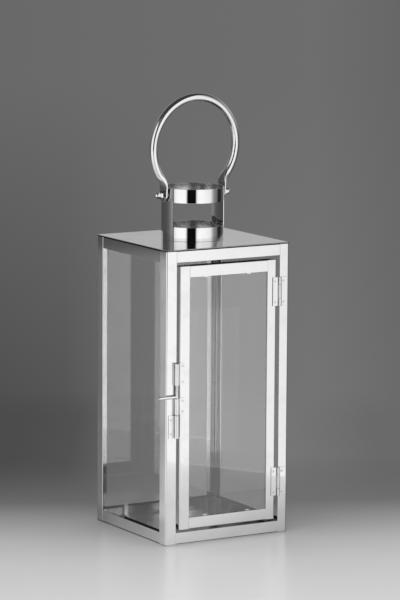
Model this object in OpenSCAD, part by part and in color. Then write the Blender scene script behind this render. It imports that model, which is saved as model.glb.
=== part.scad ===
// Candle lantern in folded and polished stainless sheet: a square glazed body
// on four L-section corner posts, a glazed door on two butt hinges with a
// sliding bolt, and a two-ring chimney that carries a swinging bail handle.
// Millimetres. The origin is the centre of the base's underside, +Z is up and
// the door is on the -Y face, hinged on the +X side.

/* [Body] */
// Width and depth of the square body over its corner posts
body_w = 160; // [140:1:200]
// Height from the base to the top of the top plate
body_h = 335.5; // [300:0.5:420]
// Thickness of the folded sheet
sheet = 1; // [0.8:0.1:1.2]
// Thickness of the floor plate and of the top plate
plate_t = 1.5; // [1.2:0.1:2]
// How far the top plate stands out past the posts
plate_lip = 0.5; // [0:0.1:2]
// Leg of a corner post's L section
post_leg = 13.5; // [12:0.5:16]
// Front leg of the post that carries the hinges
hinge_leg = 12; // [11.5:0.5:14]
// Outside radius of a folded corner
fold_r = 2; // [1.5:0.5:3]
// Outside radius of the tight fold along a rail
rail_fold_r = 1.2; // [1.2:0.1:2]
// Outside radius of the folds of the door's frame
door_fold_r = 1.5; // [1.2:0.1:2]
// Height of a rail's face
rail_h = 13; // [10:0.5:16]
// Depth of a rail's inward fold
rail_fold = 7; // [6:0.5:9]

/* [Glass] */
// Thickness of a pane
glass_t = 2; // [2:0.5:3]
// Distance of a fixed pane's edges from the posts' corners
pane_inset = 4; // [3.5:0.1:6]
// Gap between the door pane's upright edges and the frame's folds
door_pane_gap = 4.2; // [4.2:0.1:6]
// Width of a lug or clip that holds a pane
lug_w = 5; // [4:0.5:8]
// How far a lug or clip shows past the edge of its rail
lug_show = 1.5; // [0:0.1:3]
// Distance of the lower lugs from the middle of a pane
lug_low_x = 42; // [20:1:50]
// Distance of the upper lugs from the middle of a pane
lug_high_x = 25; // [10:1:50]
// Distance of the door's clips from its middle
clip_x = 28; // [10:1:40]

/* [Door] */
// Width of the face of the latch stile and of both door rails
door_face = 13; // [10:0.5:16]
// Width of the face of the hinge stile
hinge_face = 11.5; // [10:0.5:16]
// Depth of the door frame's folded sides
door_depth = 10; // [8:0.5:14]
// Gap beside the latch stile
gap_latch = 3.85; // [2:0.05:5]
// Gap beside the hinge stile
gap_hinge = 4.65; // [4:0.05:6]
// Gap over the door
gap_top = 4.4; // [2:0.1:6]
// Gap under the door
gap_bottom = 2.7; // [1.5:0.1:4]

/* [Hinges] */
// Height of a hinge
hinge_h = 33; // [25:1:45]
// Height of the lower hinge's middle above the base
hinge_low_z = 60.7; // [50:0.1:100]
// Height of the upper hinge's middle above the base
hinge_high_z = 280; // [200:0.5:290]
// Distance from the hinge axis to the outer edge of the post leaf
post_leaf_w = 8.8; // [8:0.1:11]
// Distance from the hinge axis to the outer edge of the door leaf
door_leaf_w = 8.8; // [8:0.1:11]
// Thickness of a hinge leaf
leaf_t = 0.9; // [0.8:0.1:1.2]
// Outside radius of a knuckle
knuckle_r = 1.9; // [1.8:0.1:2.5]
// Radius of a hinge pin
pin_r = 1; // [0.8:0.1:1.2]
// How far the hinge axis stands in from the edge of the post
axis_inset = 0.7; // [0.6:0.1:1.2]

/* [Latch] */
// Height of the top of the lower guide above the base
latch_z = 168.5; // [150:0.5:200]
// Clear height between the two guides, where the lever travels
guide_gap = 15; // [12:0.5:20]
// Length of the upper guide
guide_high_len = 24.6; // [20:0.1:35]
// Length of the lower guide
guide_low_len = 18.5; // [15:0.5:25]
// Length of the keeper on the post
keeper_len = 26; // [20:0.5:35]
// Gap between the lower guide and the keeper
keeper_gap = 0.7; // [0.5:0.1:2]
// Radius of the sliding rod
rod_r = 1.75; // [1.5:0.05:2]
// Outside radius of a rolled sleeve
sleeve_r = 2.6; // [2.5:0.1:3.2]
// How far the rod reaches into the keeper when locked
throw_in = 8.9; // [6:0.1:10]
// Length of the lever from the rod's axis
lever_len = 24; // [18:0.5:30]

/* [Chimney] */
// Outside radius of a chimney ring
ring_r = 35.2; // [30:0.1:40]
// Thickness of a ring and of a strap
ring_t = 1; // [0.8:0.1:1.5]
// Height of a ring
ring_h = 16; // [12:0.5:22]
// Open height between the two rings
ring_gap = 27.5; // [20:0.5:40]
// Half of the angle that a strap spans around the rings
strap_half = 21.2; // [15:0.1:25]

/* [Bail handle] */
// Diameter of the handle's bar
bail_d = 9; // [7:0.5:10]
// Thickness of its flattened ends
tab_t = 2.2; // [2:0.1:3]
// Width of its flattened ends
tab_w = 16; // [14:0.5:18]
// Radius of the crown's centre line
crown_r = 52; // [48:0.5:55]
// Height of the crown arc's centre above the pivots
crown_z = 58.5; // [56:0.5:62]
// Radius of the shoulders' centre line
shoulder_r = 58; // [56:0.5:62]
// Angle above level at which the crown meets the shoulders
shoulder_turn = 45.6; // [40:0.1:50]
// Radius of the outward bend above each flattened end
neck_r = 14; // [12:0.5:18]
// Lean of the handle towards the door, 0 for upright
bail_lean = 4.2; // [-10:0.1:10]

/* [Hidden] */
$fn = 48;
STEEL = "silver";
STEEL_DARK = "darkgray";
STEEL_BRIGHT = "gainsboro";
GLASS = [0.8, 0.88, 0.9, 0.35];

RUN = 0.05;                 // running clearance of a pin or rod in its bore
half_w = body_w / 2;
post_h = body_h - 2 * plate_t;
floor_z = plate_t;
roof_z = body_h - plate_t;
corner_r = fold_r;

// Fixed panes stand behind the posts' legs, between the rails' folds,
// and are held at top and bottom by bent lugs
lug_t = 1;
lug_seat = 1;               // how far a lug's foot reaches under the pane
pane_z0 = floor_z + sheet + lug_t;
pane_z1 = roof_z - sheet - lug_t;

// Door frame
door_x0 = -half_w + post_leg + gap_latch;
door_x1 = half_w - hinge_leg - gap_hinge;
door_z0 = floor_z + rail_h + gap_bottom;
door_z1 = roof_z - rail_h - gap_top;
door_mid = (door_x0 + door_x1) / 2;

// Hinges
axis_x = half_w - hinge_leg - axis_inset;
axis_y = -half_w - knuckle_r;
knuckle_end = 8.4;          // height of each outer knuckle
knuckle_slit = 0.2;         // gap between neighbouring knuckles
leaf_clear = knuckle_r + 0.3;
leaf_rivet_z = 12;
post_leaf_rivet_x = 4.7;
door_leaf_rivet_x = -6.5;

// Latch, about the sliding rod's axis
sleeve_off = 0.4;           // the sleeves stand this far off the post's face
sleeve_t = 0.8;
rod_inset = 1.2;            // distance of the rod's axis from the post's edge
rod_x = -half_w + post_leg - rod_inset;
rod_y = -half_w - sleeve_off - sleeve_r;
guide_reach = 10.6;
keeper_reach = 9.1;
guide_step = 3.9;
guide_low_z = latch_z - guide_low_len;
guide_high_z = latch_z + guide_gap;
keeper_z = guide_low_z - keeper_gap - keeper_len;
rod_z0 = guide_low_z - keeper_gap - throw_in;
rod_short = 5.6;            // how far the locked rod ends below the upper guide's top
rod_z1 = guide_high_z + guide_high_len - rod_short;
lever_gap = 0.1;            // clearance of the lever over the lower guide
lever_z = latch_z + rod_r + lever_gap;
guide_rivet_end = 3.3;      // distance of a rivet from the end of a guide
keeper_rivet_end = 5;       // distance of a rivet from the end of the keeper
guide_rivet_x = 8.6;
keeper_rivet_x = -6.4;

// Rivets
rivet_r = 0.9;
rivet_head_r = 1.3;
rivet_head_h = 0.4;
rivet_lip = 0.3;            // how much narrower a head is at its top
rivet_tail_lip = 0.1;       // how much wider a rivet's tail is than its shank

// Chimney and pivots
chimney_h = 2 * ring_h + ring_gap;
vent_ledge = 1.2;           // how far the vent's edge stands inside the rings
vent_r = ring_r - ring_t - vent_ledge;
strap_r = ring_r + ring_t;
pivot_z = body_h + chimney_h - ring_h / 2;
bolt_r = 2.5;
bolt_head_r = 4.4;
bolt_head_h = 2.4;
bolt_head_x = sqrt(pow(ring_r - ring_t, 2) - pow(bolt_head_r, 2));
washer_r = 5;
washer_t = 1;
arm_x0 = strap_r + washer_t + RUN;
nut_x = arm_x0 + tab_t + RUN;
nut_af = 8;
nut_hex_h = 4;
nut_h = 10;
nut_dome_r = 3.7;
nut_bore = 7.5;

// Bail centre line: crown, shoulders, outward necks and flat ends
arm_x = arm_x0 + tab_t / 2;
shoulder_x = -(shoulder_r - crown_r) * cos(shoulder_turn);
shoulder_z = crown_z - (shoulder_r - crown_r) * sin(shoulder_turn);
neck_turn = acos((arm_x - shoulder_x + neck_r) / (shoulder_r + neck_r));
neck_x = arm_x + neck_r;
neck_z = shoulder_z - (shoulder_r + neck_r) * sin(neck_turn);
neck_len = neck_r * neck_turn * PI / 180;
shoulder_len = shoulder_r * (shoulder_turn + neck_turn) * PI / 180;
crown_len = crown_r * (90 - shoulder_turn) * PI / 180;
sink = 2.5;                 // length of the swept bar buried in the flat end
sink_inset = 0.06;          // how much smaller than the flat end its buried end is
flare_len = sink + neck_len + 6;    // length along which the flat end turns round
half_len = sink + neck_len + shoulder_len + crown_len;
FLARE_RINGS = 14;
BAR_RINGS = 18;
BAR_SIDES = 24;

// ---------------------------------------------------------------- profiles

// Rectangle with its corner at the origin rounded
module cornered(a, b, r) {
    translate([r, 0]) square([a - r, b]);
    translate([0, r]) square([a, b - r]);
    translate([r, r]) circle(r);
}

// Folded L: legs a along x and b along y, outer corner of radius r at the origin
module l_profile(a, b, r = fold_r) {
    difference() {
        cornered(a, b, r);
        translate([sheet, sheet]) cornered(a, b, r - sheet);
    }
}

// Square plate with rounded corners
module plate_outline(w) {
    i = w / 2 - corner_r;
    square([w - 2 * corner_r, w], center = true);
    square([w, w - 2 * corner_r], center = true);
    for (x = [-i, i], y = [-i, i]) translate([x, y]) circle(corner_r);
}

// Cylinder along +Y from the origin
module y_rod(r, h) { rotate([-90, 0, 0]) cylinder(r = r, h = h); }

// Cylinder along +X from the origin
module x_rod(r, h) { rotate([0, 90, 0]) cylinder(r = r, h = h); }

// ------------------------------------------------------------------- frame

module floor_plate() {
    color(STEEL) linear_extrude(plate_t) plate_outline(body_w);
}

module top_plate() {
    color(STEEL_BRIGHT) translate([0, 0, roof_z]) linear_extrude(plate_t) difference() {
        plate_outline(body_w + 2 * plate_lip);
        circle(vent_r, $fn = 96);
    }
}

// Corner post; side picks the corner, and the front or rear leg may differ
module post(side_x, side_y, leg_x) {
    color(STEEL) translate([side_x * half_w, side_y * half_w, floor_z])
        mirror([side_x > 0 ? 1 : 0, 0, 0]) mirror([0, side_y > 0 ? 1 : 0, 0])
            linear_extrude(post_h) l_profile(leg_x, post_leg);
}

module post_front_left() {
    difference() {
        post(-1, -1, post_leg);
        keeper_rivets_at() rivet_hole();
    }
}

module post_front_right() {
    difference() {
        post(1, -1, hinge_leg);
        hinge_rivets_at(post_leaf_rivet_x) rivet_hole();
    }
}

module post_rear_left() { post(-1, 1, post_leg); }

module post_rear_right() { post(1, 1, post_leg); }

// Rail along the -Y face from x0 to x1, its fold turned inwards
module front_rail(x0, x1, top) {
    color(STEEL) translate([x0, -half_w, top ? roof_z : floor_z])
        mirror([0, 0, top ? 1 : 0]) rotate([90, 0, 90])
            linear_extrude(x1 - x0) l_profile(rail_fold, rail_h, rail_fold_r);
}

// The same rail on the face that is turned this many degrees from -Y
module turned_rail(turn, top) {
    rotate([0, 0, turn]) front_rail(-half_w + post_leg, half_w - post_leg, top);
}

module bottom_rail_front() { front_rail(-half_w + post_leg, half_w - hinge_leg, false); }

module bottom_rail_rear() { turned_rail(180, false); }

module bottom_rail_left() { turned_rail(-90, false); }

module bottom_rail_right() { turned_rail(90, false); }

module top_rail_front() { front_rail(-half_w + post_leg, half_w - hinge_leg, true); }

module top_rail_rear() { turned_rail(180, true); }

module top_rail_left() { turned_rail(-90, true); }

module top_rail_right() { turned_rail(90, true); }

// ------------------------------------------------------------ fixed glass

// Pane behind the face that is turned this many degrees from -Y
module pane(turn) {
    w = body_w - 2 * pane_inset;
    color(GLASS) rotate([0, 0, turn]) translate([-w / 2, -half_w + sheet, pane_z0])
        cube([w, glass_t, pane_z1 - pane_z0]);
}

module glass_left() { pane(-90); }

module glass_right() { pane(90); }

module glass_rear() { pane(180); }

// Bent lug of height h: its foot lies on a fold of the given depth and reaches
// under the pane, and its upright stands against the pane's inner face, y = 0
module lug(h, fold) {
    translate([-lug_w / 2, 0, 0]) {
        cube([lug_w, lug_t, h]);
        translate([0, -lug_seat, 0]) cube([lug_w, fold - sheet - glass_t, lug_t]);
    }
}

module glass_lugs() {
    h = rail_h - sheet + lug_show;
    color(STEEL_BRIGHT) for (turn = [-90, 90, 180]) rotate([0, 0, turn])
        translate([0, -half_w + sheet + glass_t, 0]) for (side = [-1, 1]) {
            translate([side * lug_low_x, 0, floor_z + sheet]) lug(h, rail_fold);
            translate([side * lug_high_x, 0, roof_z - sheet]) mirror([0, 0, 1]) lug(h, rail_fold);
        }
}

// ---------------------------------------------------------------- chimney

module ring(z) {
    color(STEEL_BRIGHT) translate([0, 0, z]) difference() {
        cylinder(r = ring_r, h = ring_h, $fn = 96);
        translate([0, 0, -1]) cylinder(r = ring_r - ring_t, h = ring_h + 2, $fn = 96);
    }
}

module chimney_ring_lower() { ring(body_h); }

module chimney_ring_upper() {
    difference() {
        ring(body_h + ring_h + ring_gap);
        translate([-ring_r - 1, 0, pivot_z]) x_rod(bolt_r, 2 * ring_r + 2);
    }
}

// Curved strap that follows the rings; side is -1 for left and 1 for right
module strap(side) {
    color(STEEL) difference() {
        translate([0, 0, body_h]) rotate([0, 0, side > 0 ? -strap_half : 180 - strap_half])
            rotate_extrude(angle = 2 * strap_half, $fn = 96)
                translate([ring_r, 0]) square([ring_t, chimney_h]);
        translate([-strap_r - 1, 0, pivot_z]) x_rod(bolt_r, 2 * strap_r + 2);
    }
}

module chimney_strap_left() { strap(-1); }

module chimney_strap_right() { strap(1); }

// ----------------------------------------------------------------- pivots

// The +X pivot's children, and their mirror image on the -X side
module both_sides() {
    for (side = [0, 1]) mirror([side, 0, 0]) translate([0, 0, pivot_z]) children();
}

// Button head inside the ring, with a hexagonal key socket
module pivot_bolt() {
    key_r = 1.7;
    key_depth = 1.3;
    difference() {
        union() {
            translate([bolt_head_x - bolt_head_h, 0, 0]) x_rod(bolt_head_r - 0.6, bolt_head_h);
            translate([bolt_head_x - bolt_head_h + 0.6, 0, 0])
                x_rod(bolt_head_r, bolt_head_h - 0.6);
            translate([bolt_head_x, 0, 0]) x_rod(bolt_r, nut_x + nut_bore - 0.5 - bolt_head_x);
        }
        translate([bolt_head_x - bolt_head_h - 1, 0, 0]) rotate([0, 90, 0])
            cylinder(r = key_r, h = key_depth + 1, $fn = 6);
    }
}

module pivot_bolts() { color(STEEL_DARK) both_sides() pivot_bolt(); }

module pivot_washers() {
    color(STEEL_DARK) both_sides() translate([strap_r, 0, 0]) difference() {
        x_rod(washer_r, washer_t);
        translate([-1, 0, 0]) x_rod(bolt_r, washer_t + 2);
    }
}

// Domed cap nut: chamfered hexagon, waist and round dome over a blind bore
module acorn_nut() {
    corner = nut_af / 2 / cos(30);
    chamfer = 0.7;
    dome_x = nut_h - nut_dome_r;
    translate([nut_x, 0, 0]) rotate([0, 90, 0]) difference() {
        union() {
            intersection() {
                cylinder(r = corner, h = nut_hex_h, $fn = 6);
                rotate_extrude() polygon([
                    [0, 0], [corner - chamfer / 2, 0], [corner, chamfer / 2],
                    [corner, nut_hex_h - chamfer], [nut_dome_r, nut_hex_h], [0, nut_hex_h]
                ]);
            }
            cylinder(r = nut_dome_r, h = dome_x);
            translate([0, 0, dome_x]) sphere(nut_dome_r);
        }
        translate([0, 0, -1]) cylinder(r = bolt_r, h = nut_bore + 1);
    }
}

module acorn_nuts() { color(STEEL_BRIGHT) both_sides() acorn_nut(); }

// ----------------------------------------------------------------- rivets

// A rivet's local origin is on the body's front face; -Y points outwards
module rivet_hole() { translate([0, -5, 0]) y_rod(rivet_r, 10); }

// Head over a plate of thickness t, shank and a small tail behind the sheet
module rivet(t) {
    translate([0, -t - rivet_head_h, 0]) y_rod(rivet_head_r - rivet_lip, rivet_head_h);
    translate([0, -t - rivet_head_h / 2, 0]) y_rod(rivet_head_r, rivet_head_h / 2);
    translate([0, -t, 0]) y_rod(rivet_r, t + sheet);
    translate([0, sheet, 0]) y_rod(rivet_r + rivet_tail_lip, rivet_head_h);
}

// Children at the rivets of both hinges, dx beside the hinge axis
module hinge_rivets_at(dx) {
    for (z = [hinge_low_z, hinge_high_z], dz = [-leaf_rivet_z, leaf_rivet_z])
        translate([axis_x + dx, -half_w, z + dz]) children();
}

// Children at both rivets, end from the ends, of a plate that runs from z up over len
module plate_rivets_at(dx, z, len, end) {
    for (dz = [end, len - end]) translate([rod_x + dx, -half_w, z + dz]) children();
}

module keeper_rivets_at() {
    plate_rivets_at(keeper_rivet_x, keeper_z, keeper_len, keeper_rivet_end) children();
}

module guide_rivets_at() {
    plate_rivets_at(guide_rivet_x, guide_low_z, guide_low_len, guide_rivet_end) children();
    plate_rivets_at(guide_rivet_x, guide_high_z, guide_high_len, guide_rivet_end) children();
}

module post_rivets() {
    color(STEEL_DARK) {
        hinge_rivets_at(post_leaf_rivet_x) rivet(leaf_t);
        keeper_rivets_at() rivet(sleeve_t);
    }
}

module door_rivets() {
    color(STEEL_DARK) {
        hinge_rivets_at(door_leaf_rivet_x) rivet(leaf_t);
        guide_rivets_at() rivet(sleeve_t);
    }
}

// ----------------------------------------------------------------- hinges

// Leaf with knuckles over each [from, to]; side is 1 for the post, -1 for the door
module hinge_leaf(side, width, knuckles, bore, z) {
    leaf_y = knuckle_r - leaf_t;
    color(STEEL_BRIGHT) difference() {
        translate([axis_x, axis_y, z - hinge_h / 2]) difference() {
            union() {
                translate([side > 0 ? leaf_clear : -width, leaf_y, 0])
                    cube([width - leaf_clear, leaf_t, hinge_h]);
                for (k = knuckles) translate([0, 0, k[0]]) {
                    cylinder(r = knuckle_r, h = k[1] - k[0]);
                    translate([side > 0 ? 0 : -leaf_clear, leaf_y, 0])
                        cube([leaf_clear, leaf_t, k[1] - k[0]]);
                }
            }
            translate([0, 0, -1]) cylinder(r = bore, h = hinge_h + 2);
        }
        hinge_rivets_at(side > 0 ? post_leaf_rivet_x : door_leaf_rivet_x) rivet_hole();
    }
}

module hinge_post_leaf(z) {
    hinge_leaf(1, post_leaf_w, [[0, knuckle_end], [hinge_h - knuckle_end, hinge_h]], pin_r, z);
}

module hinge_door_leaf(z) {
    gap = knuckle_end + knuckle_slit;
    hinge_leaf(-1, door_leaf_w, [[gap, hinge_h - gap]], pin_r + RUN, z);
}

module hinge_pin(z) {
    head_h = 0.5;
    color(STEEL_DARK) translate([axis_x, axis_y, z - hinge_h / 2]) {
        cylinder(r = pin_r, h = hinge_h);
        for (end = [-head_h, hinge_h]) translate([0, 0, end]) cylinder(r = pin_r + 0.4, h = head_h);
    }
}

module hinge_post_leaf_lower() { hinge_post_leaf(hinge_low_z); }

module hinge_post_leaf_upper() { hinge_post_leaf(hinge_high_z); }

module hinge_door_leaf_lower() { hinge_door_leaf(hinge_low_z); }

module hinge_door_leaf_upper() { hinge_door_leaf(hinge_high_z); }

module hinge_pin_lower() { hinge_pin(hinge_low_z); }

module hinge_pin_upper() { hinge_pin(hinge_high_z); }

// ------------------------------------------------------------------- door

// Stile with its outer corner at x; side is -1 for the latch edge, 1 for the hinge edge
module stile(side, x, face) {
    color(STEEL) translate([x, -half_w, door_z0]) mirror([side > 0 ? 1 : 0, 0, 0])
        linear_extrude(door_z1 - door_z0) l_profile(face, door_depth, door_fold_r);
}

module door_stile_latch() {
    difference() {
        stile(-1, door_x0, door_face);
        guide_rivets_at() rivet_hole();
    }
}

module door_stile_hinge() {
    difference() {
        stile(1, door_x1, hinge_face);
        hinge_rivets_at(door_leaf_rivet_x) rivet_hole();
    }
}

// Rail: face between the stiles' faces, fold running on behind them
module door_rail(top) {
    x0 = door_x0 + door_face;
    x1 = door_x1 - hinge_face;
    inner0 = door_x0 + sheet;
    inner1 = door_x1 - sheet;
    color(STEEL) translate([0, -half_w, top ? door_z1 : door_z0]) mirror([0, 0, top ? 1 : 0]) {
        translate([x0, 0, 0]) rotate([90, 0, 90])
            linear_extrude(x1 - x0) l_profile(door_depth, door_face, door_fold_r);
        translate([inner0, door_fold_r, 0])
            cube([inner1 - inner0, door_depth - door_fold_r, sheet]);
    }
}

module door_rail_top() { door_rail(true); }

module door_rail_bottom() { door_rail(false); }

module door_glass() {
    side = sheet + door_pane_gap;
    end = sheet + lug_t;
    color(GLASS) translate([door_x0 + side, -half_w + sheet, door_z0 + end])
        cube([door_x1 - door_x0 - 2 * side, glass_t, door_z1 - door_z0 - 2 * end]);
}

// Bent clips of the same form on the folds of the door's rails
module door_glass_clips() {
    color(STEEL_BRIGHT) for (side = [-1, 1], top = [0, 1])
        translate([door_mid + side * clip_x, -half_w + sheet + glass_t,
                   top == 1 ? door_z1 - sheet : door_z0 + sheet])
            mirror([0, 0, top]) lug(door_face - sheet + lug_show, door_depth);
}

// ------------------------------------------------------------------ latch

// Plate that lies on the face and rolls into a sleeve around the rod's axis
module rolled_sleeve(side, reach, z, len) {
    face_y = sleeve_r + sleeve_off;
    slope = 0.7;
    color(STEEL_BRIGHT) translate([rod_x, rod_y, z]) mirror([side > 0 ? 0 : 1, 0, 0])
        linear_extrude(len) difference() {
            union() {
                circle(sleeve_r);
                polygon([
                    [0, sleeve_r], [guide_step, sleeve_r], [guide_step + slope, face_y],
                    [reach, face_y], [reach, face_y - sleeve_t],
                    [guide_step + 1.3 * slope, face_y - sleeve_t],
                    [guide_step + 0.3 * slope, sleeve_r - sleeve_t],
                    [sleeve_t, sleeve_r - sleeve_t], [0, sleeve_r - sleeve_t / 2]
                ]);
            }
            circle(rod_r + RUN);
        }
}

module bolt_guide_lower() {
    difference() {
        rolled_sleeve(1, guide_reach, guide_low_z, guide_low_len);
        guide_rivets_at() rivet_hole();
    }
}

module bolt_guide_upper() {
    difference() {
        rolled_sleeve(1, guide_reach, guide_high_z, guide_high_len);
        guide_rivets_at() rivet_hole();
    }
}

module bolt_keeper() {
    difference() {
        rolled_sleeve(-1, keeper_reach, keeper_z, keeper_len);
        keeper_rivets_at() rivet_hole();
    }
}

module bolt_rod() {
    chamfer = 0.4;
    len = rod_z1 - rod_z0;
    color(STEEL_DARK) translate([rod_x, rod_y, rod_z0]) rotate_extrude() polygon([
        [0, 0], [rod_r - chamfer, 0], [rod_r, chamfer],
        [rod_r, len - chamfer], [rod_r - chamfer, len], [0, len]
    ]);
}

// Lever welded to the rod's side, its end coped to the rod
module bolt_lever() {
    color(STEEL_BRIGHT) difference() {
        translate([rod_x, rod_y, lever_z]) mirror([1, 0, 0]) {
            x_rod(rod_r, lever_len - rod_r);
            translate([lever_len - rod_r, 0, 0]) sphere(rod_r);
        }
        translate([rod_x, rod_y, lever_z - 5]) cylinder(r = rod_r, h = 10);
    }
}

// ------------------------------------------------------------ bail handle

function mix(a, b, t) = a + (b - a) * t;
function ease(t) = t * t * (3 - 2 * t);
function sgn_pow(v, e) = sign(v) * pow(abs(v), e);

// Centre line of the right half by length s along it from inside the flat end:
// [x, z, angle of its outward normal]
function bail_line(s) =
    let (s1 = s - sink, s2 = s1 - neck_len, s3 = s2 - shoulder_len)
    s1 < 0 ? [arm_x, neck_z + s1, 0] :
    s2 < 0 ? on_neck(s1 / neck_r * 180 / PI) :
    s3 < 0 ? on_arc(shoulder_x, shoulder_z, shoulder_r, s2 / shoulder_r * 180 / PI - neck_turn) :
    on_arc(0, crown_z, crown_r, s3 / crown_r * 180 / PI + shoulder_turn);
function on_neck(a) = [neck_x - neck_r * cos(a), neck_z + neck_r * sin(a), -a];
function on_arc(x, z, r, a) = [x + r * cos(a), z + r * sin(a), a];

// Section at length s: a flat rounded oblong that turns into a circle.
// side is 1 for the right half and -1 for its mirror image.
function bail_section(s, side) =
    let (
        c = bail_line(s),
        t = ease(min(1, max(0, (s - sink) / (flare_len - sink)))),
        half_y = mix(tab_w / 2 - sink_inset, bail_d / 2, t),
        half_n = mix(tab_t / 2 - sink_inset, bail_d / 2, t),
        power = 2 / mix(6, 2, t)
    )
    [for (j = [0 : BAR_SIDES - 1])
        let (
            a = 360 * (j + 0.5) / BAR_SIDES,
            n = half_n * sgn_pow(cos(a), power)
        )
        [side * (c[0] + n * cos(c[2])), half_y * sgn_pow(sin(a), power), c[1] + n * sin(c[2])]];

// Length at ring i, counted from the flat end up to the top of the crown
function ring_len(i) =
    i <= FLARE_RINGS ? flare_len * i / FLARE_RINGS :
    mix(flare_len, half_len, (i - FLARE_RINGS) / BAR_RINGS);

// The bent bar from flat end to flat end, swept along its centre line
module bail_bar() {
    top = FLARE_RINGS + BAR_RINGS;
    points = [for (i = [-top : top]) each bail_section(ring_len(top - abs(i)), i > 0 ? -1 : 1)];
    walls = [for (i = [0 : 2 * top - 1], j = [0 : BAR_SIDES - 1])
        let (a = i * BAR_SIDES + j, b = i * BAR_SIDES + (j + 1) % BAR_SIDES)
            each [[a, a + BAR_SIDES, b], [b, a + BAR_SIDES, b + BAR_SIDES]]];
    first = [for (j = [0 : BAR_SIDES - 1]) j];
    last = [for (j = [BAR_SIDES - 1 : -1 : 0]) 2 * top * BAR_SIDES + j];
    polyhedron(points, concat([first, last], walls));
}

// Flat end on the +X side with its pivot hole, about the pivot
module bail_tab() {
    translate([arm_x0, 0, 0]) rotate([90, 0, 90]) linear_extrude(tab_t) difference() {
        union() {
            circle(d = tab_w);
            translate([-tab_w / 2, 0]) square([tab_w, neck_z]);
        }
        circle(bolt_r + RUN);
    }
}

module bail_handle() {
    color(STEEL_BRIGHT) translate([0, 0, pivot_z]) rotate([bail_lean, 0, 0]) {
        bail_bar();
        for (side = [0, 1]) mirror([side, 0, 0]) bail_tab();
    }
}

// ---------------------------------------------------------------- assembly

floor_plate();
top_plate();
post_front_left();
post_front_right();
post_rear_left();
post_rear_right();
bottom_rail_front();
bottom_rail_rear();
bottom_rail_left();
bottom_rail_right();
top_rail_front();
top_rail_rear();
top_rail_left();
top_rail_right();
glass_left();
glass_right();
glass_rear();
glass_lugs();
chimney_ring_lower();
chimney_ring_upper();
chimney_strap_left();
chimney_strap_right();
pivot_bolts();
pivot_washers();
acorn_nuts();
hinge_post_leaf_lower();
hinge_post_leaf_upper();
hinge_pin_lower();
hinge_pin_upper();
bolt_keeper();
post_rivets();
door_stile_latch();
door_stile_hinge();
door_rail_top();
door_rail_bottom();
door_glass();
door_glass_clips();
hinge_door_leaf_lower();
hinge_door_leaf_upper();
bolt_guide_lower();
bolt_guide_upper();
door_rivets();
bolt_rod();
bolt_lever();
bail_handle();
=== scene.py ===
"""Candle lantern in folded, polished stainless sheet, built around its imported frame.

Shapes are worked out in millimetres from the frame's own boxes and turned into
metres when their meshes are made. X is to the right of the door, -Y is the
door's face and +Z is up. The door, the sliding bolt and the bail handle ride on
their own bodies, and all else rides on the body.
"""

from __future__ import annotations

import logging
import math
from dataclasses import dataclass, field
from enum import Enum

import bpy
import numpy as np
from mathutils import Matrix, Vector

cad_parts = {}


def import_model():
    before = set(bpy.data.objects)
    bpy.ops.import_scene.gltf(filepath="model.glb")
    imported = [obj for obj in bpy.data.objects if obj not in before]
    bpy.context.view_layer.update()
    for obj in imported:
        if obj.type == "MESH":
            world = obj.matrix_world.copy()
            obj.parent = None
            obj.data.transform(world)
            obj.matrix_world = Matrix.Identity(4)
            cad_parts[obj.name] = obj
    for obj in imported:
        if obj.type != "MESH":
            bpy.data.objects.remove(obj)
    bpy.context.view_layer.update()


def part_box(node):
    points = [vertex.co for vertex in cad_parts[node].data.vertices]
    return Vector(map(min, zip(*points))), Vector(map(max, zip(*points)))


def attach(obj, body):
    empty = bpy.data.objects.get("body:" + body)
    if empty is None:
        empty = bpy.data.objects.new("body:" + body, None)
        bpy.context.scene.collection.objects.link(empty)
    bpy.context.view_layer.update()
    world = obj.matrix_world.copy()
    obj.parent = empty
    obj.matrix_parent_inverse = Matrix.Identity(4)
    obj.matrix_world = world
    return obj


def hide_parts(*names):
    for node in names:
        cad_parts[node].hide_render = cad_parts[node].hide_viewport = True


LOG = logging.getLogger("lantern")
MM = 0.001  # a millimetre in metres
CREASE = math.radians(28)  # from here an edge of steel is shown sharp
FLAT = math.radians(5)  # and an edge of glass, whose faces stay plane
POLE = 89.0  # degrees at which a dome stops, just short of its axis
BAND = 0.05  # height of the band that keeps a side flat under a rounded rim
RIM_STEPS = 6  # points round a rounded rim


# ------------------------------------------------------------------ choices


class Rides(Enum):
    """The rigid body that a piece moves with."""

    BODY = "body"
    DOOR = "door"
    BOLT = "bolt"
    BAIL = "bail"


class Slot(Enum):
    """Names of material slots that the finishes carry; nothing reads them."""

    FRAME = "frame_steel"
    MIRROR = "mirror_steel"
    FITTING = "fitting_steel"
    FASTENER = "fastener_steel"
    GLASS = "clear_glass"


class Axis(Enum):
    """An axis of the frame, as its column in a table of points."""

    X = 0
    Y = 1
    Z = 2


# ------------------------------------------------------------ shape toolkit


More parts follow.
